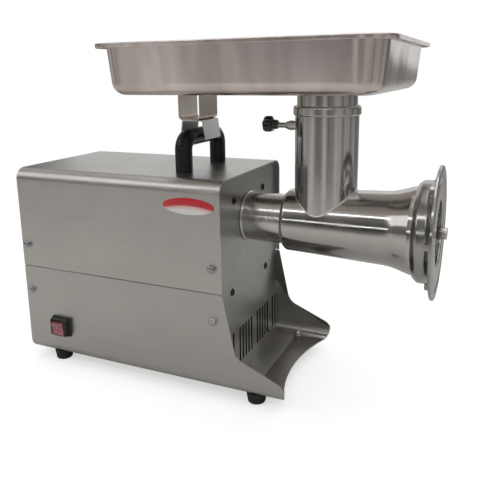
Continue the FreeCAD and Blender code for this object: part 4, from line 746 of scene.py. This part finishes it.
def lobed_knob(name, node, body, axis, side):
    """A five-lobed clamping knob with a rounded crown and a short hub. The axis points to the crown."""
    low, high, middle = span(node)
    axis, side = Vector(axis), Vector(side)
    other = axis.cross(side)
    length = abs((high - low).dot(axis))
    start = min(low.dot(axis), high.dot(axis))
    centre = side * middle.dot(side) + other * middle.dot(other)
    reach = 9.6 * MM
    lobes = 5
    sections = ((0.0, 0.44, 0.0), (0.03, 0.52, 0.0), (0.12, 0.57, 0.0), (0.28, 0.57, 0.0),
                (0.34, 0.54, 0.016), (0.37, 0.80, 0.064), (0.40, 0.87, 0.096), (0.50, 0.89, 0.104),
                (0.78, 0.89, 0.104), (0.90, 0.82, 0.096), (0.97, 0.66, 0.064), (1.0, 0.42, 0.016))
    segments = 90
    loops = []
    for along, size, depth in sections:
        loop = []
        for k in range(segments):
            turn = TAU * k / segments
            radius = reach * (size + depth * math.cos(lobes * turn))
            loop.append(centre + axis * (start + along * length)
                        + (side * math.cos(turn) + other * math.sin(turn)) * radius)
        loops.append(loop)
    bm = bmesh.new()
    capped_loft(bm, loops)
    piece = as_object(name, bm)
    subdivision = piece.modifiers.new("soft", "SUBSURF")
    subdivision.levels = subdivision.render_levels = 1
    return settle(piece, body, "black_plastic", knob_plastic, node)


def make_tray_boss():
    """The turned boss for the tray's lock screw, flared towards the tube."""
    low, high, middle = span("tray_lock_boss")
    bore = 3.3 * MM
    outer = (high.z - low.z) / 2
    line = profile((
        (low.x, bore, 0), (low.x, 3.9 * MM, 0.4 * MM), (low.x + 2.2 * MM, 4.6 * MM, 1.5 * MM),
        (low.x + 4.5 * MM, outer - 0.1 * MM, 2 * MM), (low.x + 8.5 * MM, outer, 0.6 * MM),
        (low.x + 9.0 * MM, outer - 0.5 * MM, 0.3 * MM), (high.x, outer - 0.4 * MM, 0), (high.x, bore, 0)))
    bm = bmesh.new()
    lathe(bm, line, (0, 0, middle.z), X_DIR, 64)
    settle(as_object("tray_boss", bm), "root", "polished_steel", neck_steel, "tray_lock_boss")


def foot_places():
    """The four foot positions, read from the nuts on the base floor."""
    low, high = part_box("foot_nuts")
    half_x, half_y = FOOT_NUT_FLATS / math.sqrt(3), FOOT_NUT_FLATS / 2
    return [(x, y) for x in (low.x + half_x, high.x - half_x) for y in (low.y + half_y, high.y - half_y)]


def make_feet():
    """Rubber feet with a waist groove and a recess for the screw's head."""
    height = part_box("rubber_feet")[1].z
    radius = 12 * MM
    bore, recess = 3.0 * MM, 5.6 * MM
    line = profile((
        (0, recess, 0.5 * MM), (0, radius - 2.2 * MM, 1.4 * MM), (4 * MM, radius - 1.4 * MM, 0.6 * MM),
        (4.8 * MM, radius - 2.0 * MM, 0.5 * MM), (5.8 * MM, radius - 2.0 * MM, 0.5 * MM),
        (6.6 * MM, radius - 1.0 * MM, 0.6 * MM), (height, radius - 0.2 * MM, 1.2 * MM), (height, bore, 0),
        (height / 2, bore, 0), (height / 2, recess, 0)))
    bm = bmesh.new()
    for x, y in foot_places():
        lathe(bm, line, (x, y, 0), Z_DIR, 64)
    settle(as_object("foot_pads", bm), "root", "black_rubber", black_rubber, "rubber_feet")


def make_switch():
    """The switch's raised frame, its sleeve through the side wall and the switch body behind it."""
    low, high, middle = span("switch_frame")
    half_x, half_z = (high.x - low.x) / 2, (high.z - low.z) / 2
    hole_x, hole_z = 9.0 * MM, 9.6 * MM
    sleeve_x, sleeve_z = half_x - 2.5 * MM, half_z - 2.5 * MM
    body_x, body_z = half_x - 2.2 * MM, half_z - 2.2 * MM
    sleeve_end, body_end = -8 * MM, -20 * MM
    corner = 0.8 * MM

    def frame_loop(reach_x, reach_z, out, corner):
        line = rounded(((-reach_x, -reach_z, corner), (reach_x, -reach_z, corner), (reach_x, reach_z, corner),
                        (-reach_x, reach_z, corner)), steps=5)
        return [Vector((middle.x + p.x, -HOUSING_HALF - out, middle.z + p.y)) for p in line]

    loops = [frame_loop(half_x - step, half_z - step, out, 2.0 * MM) for step, out in (
        (0.0, 0.0), (0.0, 1.4 * MM), (1.3 * MM, 1.9 * MM), (1.6 * MM, 6.6 * MM), (2.1 * MM, 7.6 * MM),
        (3.0 * MM, 8.0 * MM))]
    loops.append(frame_loop(hole_x + 0.5 * MM, hole_z + 0.5 * MM, 7.9 * MM, 0.9 * MM))
    loops += [frame_loop(hole_x, hole_z, out, corner) for out in (7.2 * MM, sleeve_end)]
    loops += [frame_loop(sleeve_x, sleeve_z, out, corner) for out in (sleeve_end, 0)]
    bm = bmesh.new()
    loft(bm, loops)
    capped_loft(bm, [frame_loop(body_x, body_z, out, corner) for out in (sleeve_end - 0.1 * MM, body_end)])
    settle(as_object("switch_bezel", bm), "root", "black_plastic", black_plastic, "switch_frame")


def make_rocker():
    """The rocker key: a shallow dip on its face, rounded shoulders and a raised bar and ring as marks."""
    joint = next(j for j in frame["joints"] if j["name"] == "rocker_tilt")
    pivot = Vector(joint["pos_m"])
    tilt = Matrix.Rotation(ROCKER_TILT, 3, "X")
    half_width = 8.5 * MM
    half = 8 * MM
    outline = rounded(((-8.2 * MM, -half, 1 * MM), (-6.8 * MM, 0, 9 * MM), (-8.2 * MM, half, 1 * MM),
                       (-1 * MM, half, 0.5 * MM), (5.5 * MM, 3 * MM, 2 * MM), (5.5 * MM, -3 * MM, 2 * MM),
                       (-1 * MM, -half, 0.5 * MM)))
    ends = (-half_width, half_width)
    bm = bmesh.new()
    prism(bm, outline, lambda u, v, end: pivot + tilt @ Vector((ends[end], u, v)))
    piece = bevelled(as_object("rocker_key", bm), 0.6 * MM, 3)
    settle(piece, "rocker", "red_rocker", rocker_red, "switch_rocker")

    mark_z = 4.6 * MM
    face = -7.85 * MM
    bar_long, bar_half, bar_depth = 2.4 * MM, 0.45 * MM, (-0.05 * MM, 0.45 * MM)
    ring_radius, ring_depth = 1.9 * MM, 0.1 * MM
    lean_up, lean_down = (Matrix.Rotation(math.radians(turn), 3, "X") for turn in (-9, 9))
    bar = rounded(((-bar_long, -bar_half, 0.4 * MM), (bar_long, -bar_half, 0.4 * MM),
                   (bar_long, bar_half, 0.4 * MM), (-bar_long, bar_half, 0.4 * MM)))

    def on_bar(u, v, end):
        return pivot + tilt @ (Vector((0, face + bar_depth[end], mark_z)) + lean_up @ Vector((v, 0, u)))

    bm = bmesh.new()
    prism(bm, bar, on_bar)
    circle = ring_of(Vector((0, 0, 0)), X_DIR, Z_DIR, ring_radius, 28)
    ring_middle = Vector((0, face + ring_depth, -mark_z))
    tube(bm, [pivot + tilt @ (ring_middle + lean_down @ point) for point in circle], 0.32 * MM, 8)
    settle(as_object("rocker_marks", bm), "rocker", "red_rocker", white_print)


def make_badge():
    """An oval badge with a raised border and a slightly domed face, in sections from the wall outwards."""
    low, high, middle = span("name_badge")
    half_x, half_z = (high.x - low.x) / 2, (high.z - low.z) / 2
    thickness = high.y - low.y
    sections = ((1.0, 0.0), (1.0, 0.45), (0.985, 0.62), (0.955, 0.72), (0.94, 0.70), (0.92, 0.74),
                (0.75, 0.88), (0.45, 0.97), (0.15, 1.0))
    loops = []
    for size, depth in sections:
        centre = Vector((middle.x, high.y - thickness * depth, middle.z))
        loops.append(ring_of(centre, X_DIR * half_x, Z_DIR * half_z, size, 96))
    bm = bmesh.new()
    capped_loft(bm, loops)
    settle(as_object("badge_plate", bm), "root", "red_badge", badge_red, "name_badge")


# ---------------------------------------------------------------- screws, bolts and gland

def to_hexagon(turn):
    """How much farther than its flats a hexagon reaches at an angle."""
    sixth = math.pi / 3
    return 1 / math.cos(turn % sixth - sixth / 2)


def hex_head(bm, centre, axis, side, flats, height, crown):
    """A hexagonal head whose corners are turned down to the crown's share of their reach."""
    other = axis.cross(side)
    radius = flats / math.sqrt(3)
    turns = [TAU * i / 6 for i in range(6)]
    corners = [(radius * math.cos(turn), radius * math.sin(turn), 0.4 * MM) for turn in turns]
    base = rounded(corners, steps=3)
    loops = []
    for along, share in ((0.0, 1.0), (height * 0.72, 1.0), (height * 0.9, crown), (height, crown - 0.14)):
        middle = Vector(centre) + axis * along
        loops.append([middle + (side * p.x + other * p.y) * min(1.0, radius * share / p.length)
                      for p in base])
    capped_loft(bm, loops)


def side_places():
    """Where the side screws go in: x, z and the side, -1 or 1."""
    low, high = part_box("side_washers")
    for x in (low.x + WASHER_RADIUS, high.x - WASHER_RADIUS):
        for z in (low.z + WASHER_RADIUS, high.z - WASHER_RADIUS):
            for side in (-1, 1):
                yield x, z, side


def make_side_screws():
    """Hexagon-headed screws, each turned differently, with a washer under the head."""
    flats, head, crown = 8 * MM, 3.3 * MM, 0.86
    shank, reach = 2.3 * MM, 11 * MM
    bore = 2.5 * MM
    gap = 0.02 * MM
    turn_step = 0.35
    washer = profile(((gap, bore, 0), (gap, WASHER_RADIUS, 0.15 * MM),
                      (WASHER_THICKNESS - gap, WASHER_RADIUS - 0.15 * MM, 0.35 * MM),
                      (WASHER_THICKNESS - gap, bore, 0)), steps=3)
    screws, washers = bmesh.new(), bmesh.new()
    for i, (x, z, side) in enumerate(side_places()):
        out = Vector((0, side, 0))
        turn = turn_step * i
        spin = Vector((math.cos(turn), 0, math.sin(turn)))
        wall = Vector((x, side * HOUSING_HALF, z))
        hex_head(screws, wall + out * WASHER_THICKNESS, out, spin, flats, head, crown)
        solid_lathe(screws, [(-reach, shank), (WASHER_THICKNESS, shank)], wall, out, 24)
        lathe(washers, washer, wall, out, 48)
    settle(as_object("side_screw_heads", screws), "root", "bright_fastener", fastener_steel, "side_screws")
    settle(as_object("side_washer_rings", washers), "root", "bright_fastener", washer_steel, "side_washers")


def make_front_bolts():
    """Low button heads with a hexagonal socket: two below, and two above that stand closer together."""
    low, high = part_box("front_bolts")
    face = plate_high.x
    radius = (high.z - low.z - FRONT_BOLT_RISE) / 2
    height = high.x - face
    upper = radius + FRONT_BOLT_INSET
    places = [(y, low.z + radius) for y in (low.y + radius, high.y - radius)]
    places += [(y, high.z - radius) for y in (low.y + upper, high.y - upper)]
    socket_half, socket_floor = 2.0 * MM, -1.5 * MM
    shank, reach = 2.9 * MM, 18 * MM
    segments = 48
    crown = rounded(((0, radius, 0), (height * 0.4, radius, 0.2 * MM), (height, radius - 1.1 * MM, 0.5 * MM),
                     (height, 2.5 * MM, 0)), closed=False, steps=4)
    bm = bmesh.new()
    for y, z in places:
        centre = Vector((face, y, z))
        loops = [ring_of(centre + X_DIR * p.x, Y_DIR, Z_DIR, p.y, segments) for p in crown]
        for along in (height, socket_floor):
            loop = []
            for k in range(segments):
                turn = TAU * k / segments
                out = (Y_DIR * math.cos(turn) + Z_DIR * math.sin(turn)) * socket_half * to_hexagon(turn)
                loop.append(centre + X_DIR * along + out)
            loops.append(loop)
        capped_loft(bm, loops)
        solid_lathe(bm, [(-reach, shank), (0.1 * MM, shank)], centre, X_DIR, 24)
    settle(as_object("plate_bolts", bm), "root", "black_steel", black_oxide, "front_bolts")


def make_foot_nuts():
    """Domed nuts: a hexagon with a dome that starts just inside it."""
    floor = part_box("foot_nuts")[0].z
    hexagon, dome_base = 4.6 * MM, 4.2 * MM
    dome_radius, dome_rise = 4.6 * MM, 4.8 * MM
    steps = 9
    dome = [(dome_base, dome_radius - 0.05 * MM)]
    for k in range(1, steps):
        turn = math.pi / 2 * k / steps
        dome.append((dome_base + dome_rise * math.sin(turn), dome_radius * math.cos(turn)))
    bm = bmesh.new()
    for x, y in foot_places():
        hex_head(bm, (x, y, floor), Z_DIR, X_DIR, FOOT_NUT_FLATS, hexagon, 0.88)
        solid_lathe(bm, dome, (x, y, floor), Z_DIR, 40)
    settle(as_object("dome_nuts", bm), "root", "bright_fastener", fastener_steel, "foot_nuts")


def make_gland():
    """The cord's gland: a threaded body, a hexagonal flange on the panel and a tapered clamping nut."""
    low, high, middle = span("cable_gland")
    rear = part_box("rear_panel")[0].x
    y, z = middle.y, middle.z
    bore = 4.5 * MM
    body, waist = 9.7 * MM, 9.6 * MM
    flange, nut = 12 * MM, 11 * MM
    segments = 72
    corner_reach = 1.12

    def section(x, radius, six_sided):
        loop = []
        for k in range(segments):
            turn = TAU * k / segments
            size = radius * (min(to_hexagon(turn), corner_reach) if six_sided else 1.0)
            loop.append(Vector((x, y + size * math.cos(turn), z + size * math.sin(turn))))
        return loop

    bm = bmesh.new()
    loft(bm, [section(x, radius, six_sided) for x, radius, six_sided in (
        (high.x, bore, False), (high.x, body, False), (rear, body, False), (rear, flange, True),
        (rear - 4.8 * MM, flange, True), (rear - 5.4 * MM, flange * 0.95, False),
        (rear - 5.5 * MM, waist, False), (rear - 6.4 * MM, waist, False),
        (rear - 6.5 * MM, nut * 0.96, False), (rear - 7.2 * MM, nut, True),
        (low.x + 6.2 * MM, nut, True), (low.x + 5.4 * MM, nut * 0.96, False),
        (low.x + 2.4 * MM, 8.6 * MM, False), (low.x + 0.5 * MM, 6.6 * MM, False),
        (low.x, 5.8 * MM, False), (low.x, bore, False))])
    settle(as_object("gland_body", bm), "root", "black_plastic", black_plastic, "cable_gland")


make_tray()
make_bracket()
make_saddle()
make_support_welds()
make_handle()
make_neck()
make_head_weld()
make_ring()
make_tray_boss()
lobed_knob("tray_knob", "tray_lock_knob", "tray_lock", -X_DIR, Z_DIR)
lobed_knob("head_knob", "head_lock_knob", "head_lock", Y_DIR, Z_DIR)
make_feet()
make_switch()
make_rocker()
make_badge()
make_side_screws()
make_front_bolts()
make_foot_nuts()
make_gland()

# ---------------------------------------------------------------- camera, lights and floor

CAMERA_PLACE = (305.1 * MM, -621.6 * MM, 365.9 * MM)
CAMERA_YAW, CAMERA_PITCH, CAMERA_ROLL = 0.4221, 0.2156, -0.0138
CAMERA_LENS = 43.54
CAMERA_SHIFT = (-0.0063, -0.0861)
ROOM_TONES = ((0.0, 0.40), (0.30, 0.52), (0.46, 0.40), (0.51, 0.13), (0.58, 0.17), (0.68, 0.26), (0.80, 0.46),
              (1.0, 0.62))
ROOM_WARMTH = (1.02, 0.985, 0.96)
FLOOR_GLOW = 0.55
FLOOR_REACH = 3.0
FLOOR_FADE = (0.55, 1.5)
MIDDLE = (0, 0, 0.2)
HEAD_SIDE = (0.1, 0, 0.2)


def make_camera():
    camera = bpy.data.objects.new("camera", bpy.data.cameras.new("camera"))
    bpy.context.scene.collection.objects.link(camera)
    camera.location = CAMERA_PLACE
    turn = Matrix.Rotation(CAMERA_YAW, 4, "Z") @ Matrix.Rotation(math.pi / 2 - CAMERA_PITCH, 4, "X")
    camera.rotation_euler = (turn @ Matrix.Rotation(CAMERA_ROLL, 4, "Z")).to_euler()
    camera.data.sensor_width = 36
    camera.data.lens = CAMERA_LENS
    camera.data.shift_x, camera.data.shift_y = CAMERA_SHIFT
    camera.data.clip_start = 0.01
    camera.data.clip_end = 50
    bpy.context.scene.camera = camera


def make_world():
    """A grey room, darker at the horizon and with soft upright panels. It shows white behind the object."""
    world = bpy.data.worlds.new("studio")
    bpy.context.scene.world = world
    world.use_nodes = True
    tree = world.node_tree
    tree.nodes.clear()
    new, link = tree.nodes.new, tree.links.new
    direction = new("ShaderNodeTexCoord").outputs["Generated"]
    split = new("ShaderNodeSeparateXYZ")
    link(direction, split.inputs[0])
    height = new("ShaderNodeMapRange")
    link(split.outputs["Z"], height.inputs["Value"])
    height.inputs["From Min"].default_value = -1
    ramp = new("ShaderNodeValToRGB")
    link(height.outputs[0], ramp.inputs[0])
    elements = ramp.color_ramp.elements
    while len(elements) < len(ROOM_TONES):
        elements.new(0.5)
    for element, (position, value) in zip(elements, ROOM_TONES):
        element.position = position
        element.color = (*(value * warmth for warmth in ROOM_WARMTH), 1)
    mapping = new("ShaderNodeMapping")
    link(direction, mapping.inputs["Vector"])
    mapping.inputs["Scale"].default_value = (2.0, 2.0, 0.5)
    panels = new("ShaderNodeTexNoise")
    link(mapping.outputs[0], panels.inputs["Vector"])
    panels.inputs["Scale"].default_value = 1.0
    panels.inputs["Detail"].default_value = 2.0
    contrast = new("ShaderNodeMapRange")
    link(panels.outputs[0], contrast.inputs["Value"])
    contrast.inputs["From Min"].default_value = 0.38
    contrast.inputs["From Max"].default_value = 0.62
    contrast.inputs["To Min"].default_value = 0.45
    contrast.inputs["To Max"].default_value = 1.45
    room = new("ShaderNodeMix")
    room.data_type = "RGBA"
    room.blend_type = "MULTIPLY"
    room.inputs["Factor"].default_value = 1.0
    link(ramp.outputs[0], room.inputs[6])
    link(contrast.outputs[0], room.inputs[7])
    seen = new("ShaderNodeLightPath")
    choice = new("ShaderNodeMix")
    choice.data_type = "RGBA"
    link(seen.outputs["Is Camera Ray"], choice.inputs["Factor"])
    link(room.outputs[2], choice.inputs[6])
    choice.inputs[7].default_value = (1.0, 1.0, 1.0, 1)
    background = new("ShaderNodeBackground")
    link(choice.outputs[2], background.inputs["Color"])
    background.inputs["Strength"].default_value = 1.0
    output = new("ShaderNodeOutputWorld")
    link(background.outputs[0], output.inputs[0])


def softbox(name, place, target, size, energy):
    light = bpy.data.objects.new(name, bpy.data.lights.new(name, "AREA"))
    bpy.context.scene.collection.objects.link(light)
    light.data.shape = "RECTANGLE"
    light.data.size, light.data.size_y = size
    light.data.energy = energy
    light.location = place
    light.rotation_euler = (Vector(place) - Vector(target)).to_track_quat("Z", "Y").to_euler()


def make_floor():
    """A pale floor that fades into the backdrop with distance and shows greyer in reflections."""
    bm = bmesh.new()
    corners = ((-1, -1), (1, -1), (1, 1), (-1, 1))
    cap(bm, [bm.verts.new((x * FLOOR_REACH, y * FLOOR_REACH, 0)) for x, y in corners])
    floor = as_object("studio_floor", bm)
    shader = Shader("studio_floor", Roughness=0.75, Specular_IOR_Level=0.15)
    rays = shader.add("ShaderNodeLightPath")
    direct = rays.outputs["Is Camera Ray"]
    tone = shader.ramp(shader.noise(3.0), ((0.3, (0.80, 0.80, 0.80)), (0.7, (0.82, 0.82, 0.82))))
    shader.finish(shader.mixed(direct, (0.70, 0.70, 0.67, 1), tone))
    shader.bsdf.inputs["Emission Color"].default_value = (1, 1, 1, 1)
    shader.feed(shader.bsdf.inputs["Emission Strength"], shader.maths("MULTIPLY", direct, FLOOR_GLOW))
    length = shader.add("ShaderNodeVectorMath", operation="LENGTH")
    shader.feed(length.inputs[0], shader.place)
    fade = shader.scaled(length.outputs["Value"], 0.0, 1.0, *FLOOR_FADE)
    clear = shader.add("ShaderNodeBsdfTransparent")
    mix = shader.add("ShaderNodeMixShader")
    shader.feed(mix.inputs[0], fade)
    shader.tree.links.new(shader.bsdf.outputs[0], mix.inputs[1])
    shader.tree.links.new(clear.outputs[0], mix.inputs[2])
    output = next(n for n in shader.tree.nodes if n.type == "OUTPUT_MATERIAL")
    shader.tree.links.new(mix.outputs[0], output.inputs[0])
    floor.data.materials.append(shader.material)


make_camera()
make_world()
softbox("key", (-1.7, -1.3, 1.6), MIDDLE, (1.6, 1.2), 6)
softbox("fill", (1.8, -0.8, 1.0), HEAD_SIDE, (1.4, 1.4), 1.5)
softbox("strip_high", (0.1, -1.45, 1.62), HEAD_SIDE, (2.4, 0.11), 3.6)
softbox("strip_low", (0.1, -2.05, 0.62), HEAD_SIDE, (2.4, 0.07), 1.9)
softbox("top", (0.0, 0.2, 2.2), MIDDLE, (2.4, 1.6), 13)
softbox("back", (-0.2, 2.1, 0.9), MIDDLE, (3.6, 1.3), 9)
make_floor()
bpy.context.scene.view_settings.view_transform = "Standard"
